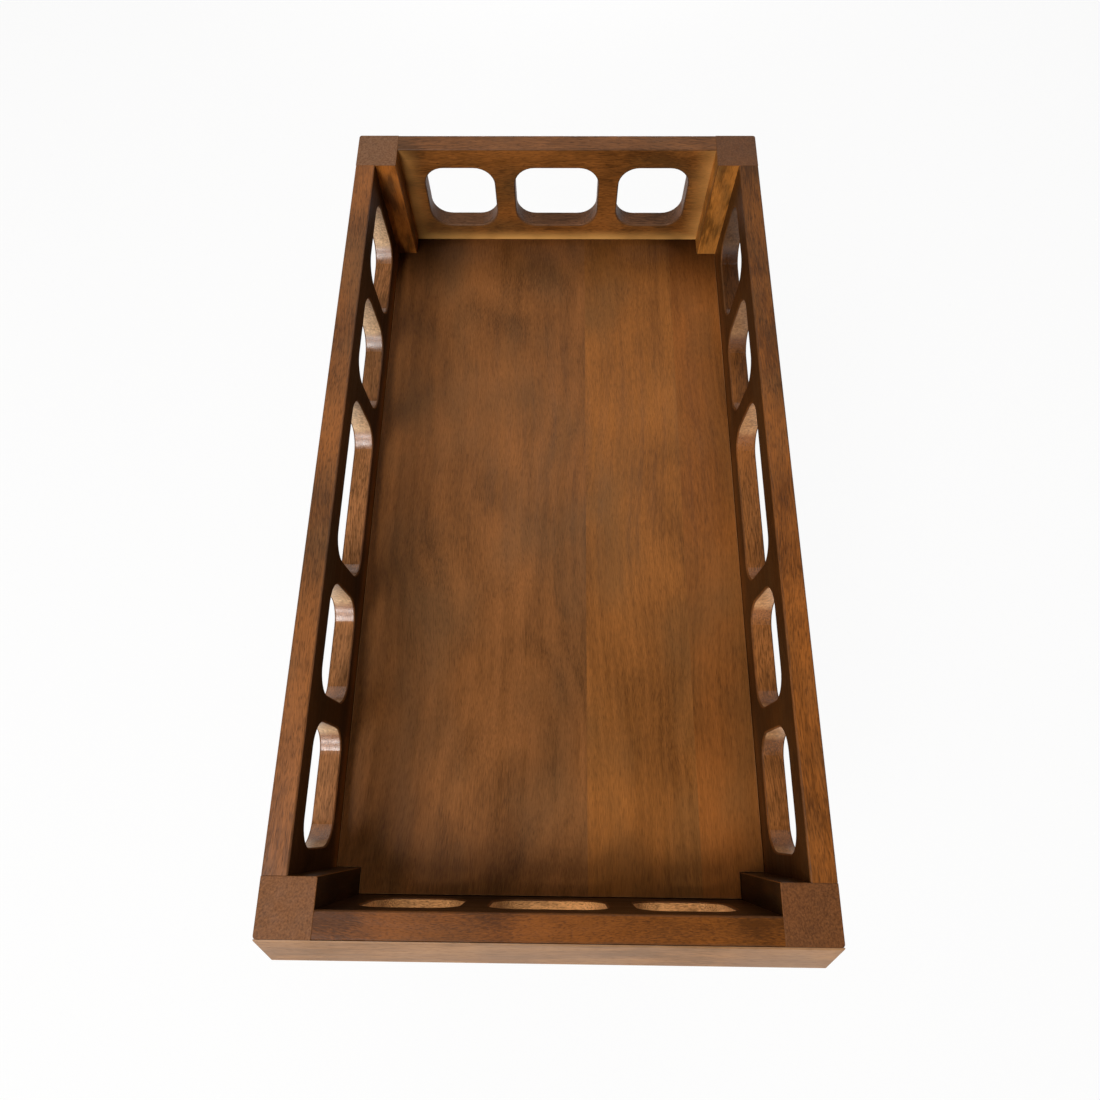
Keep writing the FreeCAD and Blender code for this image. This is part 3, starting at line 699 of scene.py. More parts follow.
class RailSide(Labelled):
    """Which side of a tray a rail closes.

    The long rails and the near one are darker inside, a painted shade, and the far one is lighter inside, a
    painted light. Cloths and hands have wiped the rails dull, the left one least, and the jambs of the long
    rails keep their lacquer.
    """

    LEFT = RailMake(Grain.ALONG, SIDE_WINDOWS, "#784823", "#391f09", "#8f5e38", "#e0b48a", "#9d5c26",
                    sheen=0.15, jamb_sheen=0.8)
    RIGHT = RailMake(Grain.ALONG, SIDE_WINDOWS, "#7e481c", "#42240b", "#8c562b", "#d3a06f", "#6b3d17",
                     jamb_sheen=0.35)
    FRONT = RailMake(Grain.ACROSS, END_WINDOWS, "#6b3b12", "#2e1806", "#cc9058", "#cf9660", "#4a2a10")
    REAR = RailMake(Grain.ACROSS, END_WINDOWS, "#6f472a", "#7b4a1f", "#5a3a24", "#6f472b", "#e0a65c")


@dataclass
class GalleryRail:
    """One pierced rail of a tray, with eased edges and routed windows."""

    level: str
    side: RailSide
    number: int
    ease: float = 1.4 * MM
    arc_steps: int = 8
    level_share: float = 0.985
    inside_sheen: float = 0.12
    sill_sheen: float = 0.06
    # Where the far rail's painted glow starts towards its ends, and how wide the glow is.
    rubbed_from: float = 136 * MM
    rubbed_band: float = 15 * MM
    # Painted shade towards the right rail's far corner, and the colour that darkens and greys its rim there,
    # a painted shade and sheen.
    pooled_band: FlatPoint = (60 * MM, 340 * MM)
    pooled_rim: str = "#d0dae8"
    jamb_fleck: FlatPoint = (2.2 * MM, 40 * MM)

    OUTSIDE, INSIDE, SILL, JAMB = range(4)
    # Light of a sill's eased edges, and of the dark and pale flecks of a jamb, against the stain.
    EDGE_SHADE, DARK_FLECK, PALE_FLECK = 0.6, 0.5, 1.5

    @property
    def node(self) -> str:
        """The rail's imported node."""
        return f"{self.level}_rail_{self.side.label}"

    def build(self, floor_height: float) -> None:
        """Makes the rail in place of its plain solid.

        Args:
            floor_height: Height of the tray's floor, where a painted glow brightens the foot of the inside.
        """
        along = self.side.value.grain.axis
        ends = [end[along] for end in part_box(self.node)]

        def off_the_joints(edge: BMEdge) -> bool:
            """Leaves the edges that butt against the legs sharp."""
            return not any(all(abs(v.co[along] - end) < SAME for v in edge.verts) for end in ends)

        shape = self._pierced_board()
        ease_edges(shape, self.ease, off_the_joints)
        new_piece(self.node, "board", shape, "frame", "rail_wood", *self._finishes(floor_height))

    def _finishes(self, floor_height: float) -> list[StainedHardwood]:
        """Stains the rail, and paints light and shade on its inside and in its windows.

        Args:
            floor_height: Height of the tray's floor.

        Returns:
            The finishes of its outside and inside, and of the sills and jambs of its windows.
        """
        make = self.side.value
        outer = board(self.node, make.grain, self.number, specular=make.sheen, fibre_depth=0.9,
                      pore_depth=0.4, **tones(make.outside))
        if self.side is RailSide.FRONT:
            # Hands on the push end have left its pores dark.
            outer = replace(outer, fibre=(0.6 * MM, 5 * MM), pore_depth=0.3, vessel=(0.7 * MM, 2.5 * MM),
                            grey_depth=0.2, cloud_depth=1.4)
        # The inside tone is painted shade on the long and near rails and painted light on the far one.
        inner = replace(outer, name=outer.name + "_inside", rubbed=make.rubbed, rubbed_height=floor_height,
                        specular=self.inside_sheen, **tones(make.inside))
        # The far rail's inside also takes a painted glow towards its ends.
        if self.side is RailSide.REAR:
            inner = replace(inner, rubbed_from=self.rubbed_from, rubbed_band=self.rubbed_band,
                            cloud_depth=1.5)
        # Sill and jamb tones are painted light where light falls through the windows, and painted shade on
        # the far rail.
        sill = replace(outer, name=outer.name + "_sill", edge=shade(make.sill, self.EDGE_SHADE),
                       grey_depth=0.2, roughness=0.3, specular=self.sill_sheen, fibre_depth=1.0,
                       pore_depth=0.4, **tones(make.sill))
        jamb = replace(sill, name=outer.name + "_jamb", specular=make.jamb_sheen, fleck=self.jamb_fleck,
                       end_dark=shade(make.jamb, self.DARK_FLECK), end_pale=shade(make.jamb, self.PALE_FLECK))
        # The right rail's sills and jambs darken towards the far corner, a painted shade, and its rim greys
        # and darkens there, a painted sheen and shade.
        if self.side is RailSide.RIGHT:
            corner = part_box(self.node)[1]
            pool = {"pooled_end": (corner.x, corner.y), "pooled_band": self.pooled_band}
            sill, jamb = replace(sill, **pool), replace(jamb, **pool)
            outer = replace(outer, pooled=self.pooled_rim, **pool)
        return [outer, inner, sill, jamb]

    def _pierced_board(self) -> BMesh:
        """Makes the rail with square edges.

        Returns:
            The mesh, with its faces numbered by their finish.
        """
        low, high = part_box(self.node)
        along = self.side.value.grain.axis
        near, far = low[1 - along], high[1 - along]
        inside = min(near, far, key=abs)
        shape = bmesh.new()
        known: dict[Point, BMVert] = {}

        def add_face(points: list[Point], finish: int) -> None:
            """Adds a face.

            Args:
                points: Its corners, as length, height and depth of the rail.
                finish: Number of its finish.
            """
            corners = []
            for u, v, w in points:
                place = Vector((u, w, v) if along == 0 else (w, u, v))
                key = tuple(round(c, 6) for c in place)
                known[key] = known.get(key) or shape.verts.new(place)
                corners.append(known[key])
            shape.faces.new(corners).material_index = finish

        outline = ((0, low[along]), (0, high[along]), (1, low.z), (1, high.z))
        for cell, window in self._cells():
            pairs = list(zip(cell, window))
            for (cell_a, window_a), (cell_b, window_b) in zip(pairs, pairs[1:] + pairs[:1]):
                for depth in (near, far):
                    add_face([(*p, depth) for p in (window_a, cell_a, cell_b, window_b)],
                             self.INSIDE if depth == inside else self.OUTSIDE)
                level = abs(window_b[0] - window_a[0]) > self.level_share * math.dist(window_a, window_b)
                walls = [(window_a, window_b, self.SILL if level else self.JAMB)]
                if any(abs(cell_a[k] - edge) < SAME and abs(cell_b[k] - edge) < SAME for k, edge in outline):
                    walls.append((cell_a, cell_b, self.OUTSIDE))
                for a, b, finish in walls:
                    add_face([(*a, near), (*b, near), (*b, far), (*a, far)], finish)
        return shape

    def _cells(self) -> Iterator[tuple[Outline, Outline]]:
        """Splits the rail into one cell round each window.

        Yields:
            The outline of a cell and the outline of its window, point for point, anticlockwise.
        """
        row, along = self.side.value.windows, self.side.value.grain.axis
        low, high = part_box(self.node)
        start, end, bottom, top = low[along], high[along], low.z, high.z
        spans = [(start + a, start + b) for a, b in row.spans()]
        cuts = [start] + [(a[1] + b[0]) / 2 for a, b in zip(spans, spans[1:])] + [end]
        head = top - row.below_rim
        turns_z = (head - row.height + row.radius, head - row.radius)
        for (left, right), west, east in zip(spans, cuts, cuts[1:]):
            turns_u = (left + row.radius, right - row.radius)
            cell, window = [], []
            for quarter, (u, v) in enumerate(((1, 0), (1, 1), (0, 1), (0, 0))):
                centre, corner = (turns_u[u], turns_z[v]), ((west, east)[u], (bottom, top)[v])
                ends = [(centre[0], corner[1]), (corner[0], centre[1])]
                first, last = ends if u != v else reversed(ends)
                window += arc(centre, row.radius, 90 * quarter - 90, 90 * quarter, self.arc_steps)
                for step in range(self.arc_steps + 1):
                    part = 2 * step / self.arc_steps
                    a, b, share = (first, corner, part) if part < 1 else (corner, last, part - 1)
                    cell.append((a[0] + (b[0] - a[0]) * share, a[1] + (b[1] - a[1]) * share))
            yield cell, window


@dataclass(frozen=True)
class Stave:
    """One of the boards that a floor is glued up from: where it ends on the right, its stain and its cut."""

    end: float
    stain: str
    from_heart: FlatPoint
    ring_spacing: float
    ring_depth: float


@dataclass
class FloorPanel:
    """A tray's floor, glued edge to edge from staves, notched round the legs, with its upper edges eased."""

    level: str
    number: int
    leg_gap: float = 0.1 * MM
    ease: float = 0.7 * MM
    staves: tuple[Stave, ...] = (
        Stave(32 * MM, "#7a4b24", (60 * MM, 250 * MM), 5 * MM, 0.08),
        Stave(128 * MM, "#845022", (60 * MM, 90 * MM), 6 * MM, 0.05),
        Stave(math.inf, "#7f4a1e", (90 * MM, 120 * MM), 5 * MM, 0.05),
    )

    @property
    def node(self) -> str:
        """The panel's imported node."""
        return f"{self.level}_floor_panel"

    @property
    def top(self) -> float:
        """Height of the floor's upper face."""
        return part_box(self.node)[1].z

    def build(self) -> None:
        """Makes the panel in place of its plain solid."""
        low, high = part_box(self.node)
        near_left, far_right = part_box("leg_front_left")[1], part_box("leg_rear_right")[0]
        west, east = near_left.x + self.leg_gap, far_right.x - self.leg_gap
        south, north = near_left.y + self.leg_gap, far_right.y - self.leg_gap
        outline = [(west, low.y), (east, low.y), (east, south), (high.x, south), (high.x, north),
                   (east, north), (east, high.y), (west, high.y), (west, north), (low.x, north),
                   (low.x, south), (west, south)]
        shape = upright_prism(outline, low.z, high.z)
        ease_edges(shape, self.ease, lambda edge: all(abs(v.co.z - high.z) < SAME for v in edge.verts))
        seams = [stave.end for stave in self.staves[:-1]]
        for seam in seams:
            bmesh.ops.bisect_plane(shape, geom=[*shape.verts, *shape.edges, *shape.faces],
                                   plane_co=(seam, 0.0, 0.0), plane_no=(1.0, 0.0, 0.0))
        for face in shape.faces:
            face.material_index = sum(face.calc_center_median().x > seam for seam in seams)
        # The floor darkens towards its far corners, a painted shade, and its eased edges are paler, worn and
        # partly a painted highlight.
        whole = board(self.node, Grain.ALONG, self.number, cloud=(70 * MM, 130 * MM), cloud_depth=0.7,
                      specular=0.07, edge="#b98a5c", pore_depth=0.2, fibre=(0.5 * MM, 12 * MM),
                      fibre_depth=0.6, streak_depth=0.3, pooled_end=(east, high.y))
        cuts = [replace(whole, name=f"{whole.name}_stave_{count}", from_heart=stave.from_heart,
                        ring_spacing=stave.ring_spacing, ring_depth=stave.ring_depth, **tones(stave.stain))
                for count, stave in enumerate(self.staves, 1)]
        new_piece(self.node, "board", shape, "frame", "floor_wood", *cuts)


@dataclass
class Tray:
    """Four gallery rails, the floor panel between them and the cleats that carry it."""

    level: str
    first_number: int
    cleat_ease: float = 1.0 * MM

    def build(self) -> None:
        """Builds and dresses the whole tray."""
        panel = FloorPanel(self.level, self.first_number)
        panel.build()
        for number, side in enumerate(RailSide, self.first_number + 1):
            GalleryRail(self.level, side, number).build(panel.top)
            self._cleat(side, number + len(RailSide))

    def _cleat(self, side: RailSide, number: int) -> None:
        """Makes one cleat, a planed batten with all its arrises taken off.

        Args:
            side: Side of the tray that it runs along.
            number: Its board's number.
        """
        node = f"{self.level}_cleat_{side.label}"
        low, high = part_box(node)
        outline = [(low.x, low.y), (high.x, low.y), (high.x, high.y), (low.x, high.y)]
        shape = upright_prism(outline, low.z, high.z)
        ease_edges(shape, self.cleat_ease)
        new_piece(node, "batten", shape, "frame", "cleat_wood", board(node, side.value.grain, number))


@dataclass
class Leg:
    """A square leg with a rounded outer corner and eased edges."""

    corner: Corner
    number: int
    stain: str
    # Its colour inside the trays: painted shade on the near legs, a painted glow on the far ones.
    inside: str
    # Its end grain's dark and pale, which differ by corner partly as painted sheen and shade.
    end_dark: str
    end_pale: str
    corner_radius: float = 2.5 * MM
    ease: float = 0.6 * MM
    arc_steps: int = 6

    def build(self) -> None:
        """Makes the leg in place of its plain solid, with a colour of its own inside the trays, a painted
        shade or glow.
        """
        node = "leg_" + self.corner.label
        low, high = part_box(node)
        side_x, side_y = self.corner.value
        outer_x, inner_x = (high.x, low.x) if side_x > 0 else (low.x, high.x)
        outer_y, inner_y = (high.y, low.y) if side_y > 0 else (low.y, high.y)
        turn = [(outer_x - side_x * (self.corner_radius - x), outer_y - side_y * (self.corner_radius - y))
                for x, y in arc((0.0, 0.0), self.corner_radius, 0, 90, self.arc_steps)]
        outline = [(inner_x, inner_y), (outer_x, inner_y), *turn, (inner_x, outer_y)]
        trays = [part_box(f"{level}_rail_left") for level in ("lower", "upper")]
        # Its sides are divided at the trays, at each height once.
        levels = {round(z, 6): z for z in (*(end.z for tray in trays for end in tray), low.z, high.z)}
        shape = upright_prism(outline, *(levels[key] for key in sorted(levels)))
        for face in shape.faces:
            middle = face.calc_center_median()
            inward = abs(middle.x - inner_x) < SAME or abs(middle.y - inner_y) < SAME
            face.material_index = int(inward and any(a.z < middle.z < b.z for a, b in trays))
        ease_edges(shape, self.ease)
        outer = board(node, Grain.UPRIGHT, self.number, end_dark=self.end_dark, end_pale=self.end_pale,
                      edge_depth=0.3, specular=0.16, **tones(self.stain))
        # Inside the trays the leg takes painted shade or a painted glow, by its corner.
        inner = replace(outer, name=outer.name + "_inside", specular=0.12, cloud=(14 * MM, 40 * MM),
                        cloud_depth=2.4, streak_depth=0.8, **tones(self.inside))
        new_piece(node, "post", shape, "frame", "leg_wood", outer, inner)


@dataclass
class GripRail:
    """The bevelled rail across the push end, paler than the other boards, partly paler wood and partly a
    painted highlight and reflection, with its ends cut back.
    """

    number: int
    lip: float = 1.0 * MM
    nose: float = 3.0 * MM
    end_cut: float = 8.0 * MM
    ease: float = 0.8 * MM

    def build(self) -> None:
        """Makes the grip rail in place of its plain solid."""
        low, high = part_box("grip_rail")
        profile = [(high.y, low.z), (low.y, low.z), (low.y, low.z + self.nose), (high.y - self.lip, high.z),
                   (high.y, high.z)]
        slope = self.end_cut / (high.y - low.y)
        shape = bmesh.new()
        add_prism(shape, *([(end + inward * slope * (high.y - y), y, z) for y, z in profile]
                           for end, inward in ((low.x, 1), (high.x, -1))))
        ease_edges(shape, self.ease, lambda edge: any(abs(v.co.y - high.y) > SAME for v in edge.verts))
        # Its pale, greyish tones are partly paler wood and partly a painted highlight and reflection of the
        # lit floor in front.
        finish = board("grip_rail", Grain.ACROSS, self.number, dark="#7d5a3a", middle="#946c49",
                       warm="#a67c56", pore="#5d3f27", grey="#7d6450", edge="#86623f",
                       streak=(4 * MM, 250 * MM), streak_depth=0.8)
        new_piece("grip_rail", "board", shape, "frame", "grip_wood", finish)


@dataclass
class PanHeadScrews:
    """A group of pan-head wood screws with cross recesses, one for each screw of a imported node."""

    node: str
    head_radius: float = 3.5 * MM
    head_height: float = 2.4 * MM
    # Points of the head's outline, as shares of its radius and its height.
    dome: Outline = ((1.0, 0.0), (1.0, 0.35), (0.93, 0.72), (0.82, 0.93), (0.68, 1.0))
    shank_radius: float = 1.75 * MM
    point: float = 3.0 * MM
    recess_reach: float = 1.9 * MM
    recess_half_width: float = 0.45 * MM
    recess_depth: float = 1.1 * MM
    recess_taper: float = 0.8
    steps: int = 16

    def build(self) -> None:
        """Makes the screws in place of their plain solids."""
        shape = bmesh.new()
        for tip, top in self._ends():
            self._add_screw(shape, tip, top)
        new_piece(self.node, "pan_heads", shape, "frame", "screw_steel", ZINC_PLATE)

    def _ends(self) -> Iterator[tuple[Vector, Vector]]:
        """Finds each packed screw.

        Yields:
            Its tip and the top of its head.
        """
        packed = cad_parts[self.node]
        solids = bmesh.new()
        solids.from_mesh(packed.data)
        solids.transform(packed.matrix_world)
        bmesh.ops.remove_doubles(solids, verts=solids.verts, dist=0.01 * MM)
        seen: set[BMVert] = set()
        for start in solids.verts:
            if start in seen:
                continue
            linked, fresh = set(), {start}
            while fresh:
                linked |= fresh
                fresh = {e.other_vert(v) for v in fresh for e in v.link_edges} - linked
            seen |= linked
            screw = [v.co for v in linked]
            low, high = (Vector([bound(p[k] for p in screw) for k in range(3)]) for bound in (min, max))
            along = max(range(3), key=lambda k: high[k] - low[k])
            across = (along + 1) % 3
            ends = [(low + high) / 2, (low + high) / 2]
            ends[0][along], ends[1][along] = low[along], high[along]
            # The head's end is the wider one.
            yield tuple(sorted(ends, key=lambda end: max(
                abs(p[across] - end[across]) for p in screw if abs(p[along] - end[along]) < SAME)))
        solids.free()

    def _add_screw(self, shape: BMesh, tip: Vector, top: Vector) -> None:
        """Adds one screw.

        Args:
            shape: Mesh that takes it.
            tip: Its tip.
            top: The middle of its head's upper face.
        """
        length = (top - tip).length
        seat = length - self.head_height
        to_place = Matrix.Translation(tip) @ (top - tip).to_track_quat("Z", "Y").to_matrix().to_4x4()
        head = [(self.head_radius * across, seat + self.head_height * up) for across, up in self.dome]
        profile = [(0.0, 0.0), (self.shank_radius, self.point), (self.shank_radius, seat), *head]
        rim = add_turning(shape, profile, to_place, self.steps)[-1]
        near, far = self.recess_half_width, self.recess_reach
        arm = [(far, -near), (far, near), (near, near)]
        quarters = ((1, 0), (0, 1), (-1, 0), (0, -1))
        cross = [(x * c - y * s, x * s + y * c) for c, s in quarters for x, y in arm]
        mouth, bed = ([shape.verts.new(to_place @ Vector((share * x, share * y, height))) for x, y in cross]
                      for share, height in ((1.0, length), (self.recess_taper, length - self.recess_depth)))
        shape.faces.new(bed)
        for i, vert in enumerate(mouth):
            shape.faces.new((mouth[i - 1], vert, bed[i], bed[i - 1]))
        loops = [shape.edges.get((loop[i - 1], loop[i])) for loop in (rim, mouth) for i in range(len(loop))]
        bmesh.ops.bridge_loops(shape, edges=loops)


@dataclass
class Castor:
    """A swivel castor: stem, fork, axle, ribbed wheel and grooved tyre, with a pedal on the braked ones.

    The outlines of turned pieces are in millimetres, out from their axis and along it. Those of the tyre,
    the wheel and the rivet are one half, which the other mirrors.
    """

    corner: Corner
    tyre: Outline = (
        (19.05, 8.6), (19.45, 9.0), *arc((20.98, 5.0), 4.0, 90, 0, 6), (24.98, 3.2), (24.28, 2.9),
        (24.28, 2.3), (24.98, 2.0))
    wheel: Outline = (
        (3.05, 10.2), (7.0, 10.2), (7.5, 9.7), (7.5, 2.5), (16.0, 2.5), (16.0, 7.5), (16.5, 8.0), (19.0, 8.0))
    rib: Outline = ((7.2, 2.2), (16.3, 2.2), (16.3, 6.0), (7.2, 7.7))
    rib_half_width: float = 0.9
    ribs: int = 8
    axle: Outline = (
        (0.0, -15.1), (2.2, -15.1), (2.6, -14.7), (2.6, -13.1), (3.0, -13.1), (3.0, 13.1), (5.0, 13.1),
        (5.0, 13.6), (4.25, 14.5), (2.5, 15.0), (0.0, 15.1))
    nut: FlatPoint = (13.1, 14.6)
    nut_radius: float = 5.0
    stem: Outline = (
        (0.0, 0.0), (6.0, 0.0), (6.5, 0.5), (6.5, 2.5), (4.0, 2.5), (4.0, 5.6), (13.6, 5.6), (14.6, 6.0),
        (15.0, 7.0), (15.0, 8.1), (14.2, 8.3), (14.2, 8.9), (15.0, 9.1), (15.0, 10.4), (14.2, 11.6),
        (5.0, 11.6), (5.0, 47.0), (4.4, 47.6), (0.0, 47.6))
    rivet: Outline = ((0.0, 1.0), (2.4, 0.7), (3.2, 0.0), (2.0, 0.0))
    wheel_steps: int = 72
    stem_steps: int = 48
    pin_steps: int = 24
    eye_steps: int = 12
    fork_sheet: float = 2.5 * MM
    fork_skirt: float = 6.0 * MM
    fork_eye: float = 7.5 * MM
    fork_ease: float = 0.5 * MM
    crown_front: float = 13.0 * MM
    crown_overhang: float = 5.0 * MM

    @property
    def to_axle(self) -> Matrix:
        """Carries the turning axis Z onto the wheel's axle."""
        return across_at("castor_tyre_" + self.corner.label)

    def build(self) -> None:
        """Builds and dresses the whole castor."""
        label = self.corner.label
        rolling, turning = "wheel_" + label, "castor_" + label
        for kind, ending, shape, body, slot, finish in (
                ("castor_tyre", "tread", self._tyre(), rolling, "tyre_rubber", RUBBER),
                ("castor_wheel", "ribbed", self._wheel(), rolling, "wheel_plastic", NYLON),
                ("castor_axle", "bolt", self._axle(), turning, "axle_steel", ZINC_PLATE),
                ("castor_stem", "race", self._stem(), "frame", "castor_steel", POWDER_COAT),
                ("castor_fork", "bracket", self._fork(), turning, "castor_steel", POWDER_COAT)):
            new_piece(f"{kind}_{label}", ending, shape, body, slot, finish)
        dress_node("castor_socket_" + label, ZINC_PLATE)
        if self.corner.braked:
            BrakePedal(self.corner).build()
            new_piece("brake_pin_" + label, "rivet", self._brake_pin(), turning, "axle_steel", ZINC_PLATE)

    @staticmethod
    def _turned(outline: Outline, to_place: Matrix, steps: int, closed: bool = False) -> BMesh:
        """Turns a piece.

        Args:
            outline: Its outline in millimetres.
            to_place: Carries the turning axis Z to its place.
            steps: How many flats go round.
            closed: Whether the outline closes on itself.

        Returns:
            The piece's mesh.
        """
        shape = bmesh.new()
        add_turning(shape, [(out * MM, along * MM) for out, along in outline], to_place, steps, closed)
        return shape

    def _tyre(self) -> BMesh:
        """Turns the tyre, with round shoulders and two tread grooves."""
        return self._turned(mirrored(self.tyre), self.to_axle, self.wheel_steps, closed=True)

    def _wheel(self) -> BMesh:
        """Turns the wheel and sets its ribs between boss and rim, on both sides of the web.

        Returns:
            The wheel's mesh.
        """
        shape = self._turned(mirrored(self.wheel), self.to_axle, self.wheel_steps, closed=True)
        for number in range(self.ribs):
            turn = self.to_axle @ Matrix.Rotation(2 * math.pi * number / self.ribs, 4, "Z")
            for way in (1, -1):
                add_prism(shape, *(
                    [turn @ Vector((out * MM, across * MM, way * along * MM)) for out, along in self.rib]
                    for across in (-self.rib_half_width, self.rib_half_width)))
        return shape

    def _axle(self) -> BMesh:
        """Turns the axle bolt, with a domed head on the outside and a hexagon nut within.

        Returns:
            The bolt's mesh.
        """
        way = self.corner.value[0]
        shape = self._turned([(out, way * along) for out, along in self.axle], self.to_axle, self.pin_steps)
        hexagon = arc((0.0, 0.0), self.nut_radius, 0, 300, 5)
        add_prism(shape, *([self.to_axle @ Vector((x * MM, y * MM, -way * along * MM)) for x, y in hexagon]
                           for along in self.nut))
        return shape

    def _stem(self) -> BMesh:
        """Turns the stem, with the two pressed cups of its ball race and the kingpin's head below.

        Returns:
            The stem's mesh.
        """
        low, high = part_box("castor_stem_" + self.corner.label)
        foot = Matrix.Translation(((low.x + high.x) / 2, (low.y + high.y) / 2, low.z))
        return self._turned(self.stem, foot, self.stem_steps)

    def _fork(self) -> BMesh:
        """Folds the fork from sheet: a crown under the race and two cheeks that narrow to the axle.

        Returns:
            The fork's mesh.
        """
        label = self.corner.label
        low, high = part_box("castor_fork_" + label)
        axis, axle = middle_of("castor_stem_" + label), middle_of("castor_tyre_" + label)
        back = math.copysign(1.0, axle[1] - axis[1])
        trail = abs(axle[1] - axis[1])
        fold, rear = high.z - self.fork_sheet, trail + self.crown_overhang
        skirt = fold - self.fork_skirt
        eye = arc((trail, axle[2]), self.fork_eye, 180, 360, self.eye_steps)
        cheek = [(-self.crown_front, fold), (-self.crown_front, skirt), *eye, (rear, skirt), (rear, fold)]
        shape = bmesh.new()
        places = (low.x, low.x + self.fork_sheet, high.x - self.fork_sheet, high.x)
        sheets = [[shape.verts.new((x, axis[1] + back * s, z)) for s, z in cheek] for x in places]
        crown = [[shape.verts.new((x, axis[1] + back * s, high.z)) for s in (-self.crown_front, rear)]
                 for x in (low.x, high.x)]
        shape.faces.new(sheets[1])
        shape.faces.new(sheets[2])
        shape.faces.new((sheets[1][0], sheets[2][0], sheets[2][-1], sheets[1][-1]))
        shape.faces.new((*crown[0], *reversed(crown[1])))
        for outer, inner, top in ((sheets[0], sheets[1], crown[0]), (sheets[3], sheets[2], crown[1])):
            shape.faces.new((*outer, top[1], top[0]))
            for i in range(1, len(cheek)):
                shape.faces.new((outer[i - 1], outer[i], inner[i], inner[i - 1]))
        for end in (0, -1):
            shape.faces.new((crown[0][end], *(sheet[end] for sheet in sheets), crown[1][end]))
        ease_edges(shape, self.fork_ease)
        return shape

    def _brake_pin(self) -> BMesh:
        """Turns the brake pedal's pin, riveted over outside both cheeks.

        Returns:
            The pin's mesh.
        """
        node = "brake_pin_" + self.corner.label
        low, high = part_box(node)
        reach = (high.x - low.x) / 2 / MM
        half = [(out, -reach - beyond) for out, beyond in self.rivet]
        return self._turned(mirrored(half), across_at(node), self.pin_steps)


@dataclass
class BrakePedal:
    """The foot pedal of a braked castor, pressed from steel with a ribbed tread. Sizes are in millimetres."""

    corner: Corner
    outline: Outline = ((-4, -3.5), (5, -3.5), (16, -6), (19, -2), (40, 4), (40, 7))
    heel: Outline = ((16, 4), (-4, 4))
    rib_places: tuple[float, ...] = (37.6, 34.2, 30.8, 27.4, 24.0)
    # Points of a rib's outline, as shares of its half width and its height.
    rib: Outline = ((1.0, 0.0), (0.6, 1.0), (-0.6, 1.0), (-1.0, 0.0))
    rib_half_width: float = 1.0
    rib_height: float = 0.8
    ease: float = 0.25

    def build(self) -> None:
        """Makes the pedal in place of its plain solid."""
        node = "brake_pedal_" + self.corner.label
        low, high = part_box(node)
        (toe_y, toe_z), (heel_y, heel_z) = self.outline[-1], self.heel[0]
        tread = []
        for place in self.rib_places:
            for across, up in self.rib:
                y = place + across * self.rib_half_width
                z = heel_z + (toe_z - heel_z) * (y - heel_y) / (toe_y - heel_y)
                tread.append((y, z + up * self.rib_height))
        profile = [*self.outline, *tread, *self.heel]
        pivot_y = low.y - min(y for y, _ in profile) * MM
        pivot_z = low.z - min(z for _, z in profile) * MM
        shape = bmesh.new()
        add_prism(shape, *([(x, pivot_y + y * MM, pivot_z + z * MM) for y, z in profile]
                           for x in (low.x, high.x)))
        ease_edges(shape, self.ease * MM)
        new_piece(node, "tread", shape, "brake_" + self.corner.label, "castor_steel", POWDER_COAT)


@dataclass(frozen=True)
class StudioLamp:
    """A softbox, set by its bearing from the trolley.

    The bearing turns to the left from the push end, and the rise is up from level, both in degrees. The
    level is a share of the light at which a colour shows as it is written.
    """

    name: str
    bearing: float
    rise: float
    reach: float
    width: float
    height: float
    level: float
    aim: Point = UPPER_AIM

    def build(self) -> None:
        """Hangs the lamp and turns it to its aim."""
        bearing, rise = math.radians(self.bearing), math.radians(self.rise)
        outward = Vector((-math.sin(bearing) * math.cos(rise), -math.cos(bearing) * math.cos(rise),
                          math.sin(rise)))
        lamp = bpy.data.lights.new(self.name, "AREA")
        lamp.shape = "RECTANGLE"
        lamp.size = self.width
        lamp.size_y = self.height
        lamp.energy = self.level * (math.pi * self.reach) ** 2
        holder = bpy.data.objects.new(self.name, lamp)
        holder.location = Vector(self.aim) + self.reach * outward
        holder.rotation_euler = outward.to_track_quat("Z", "Y").to_euler()
        holder.visible_camera = False
        bpy.context.scene.collection.objects.link(holder)


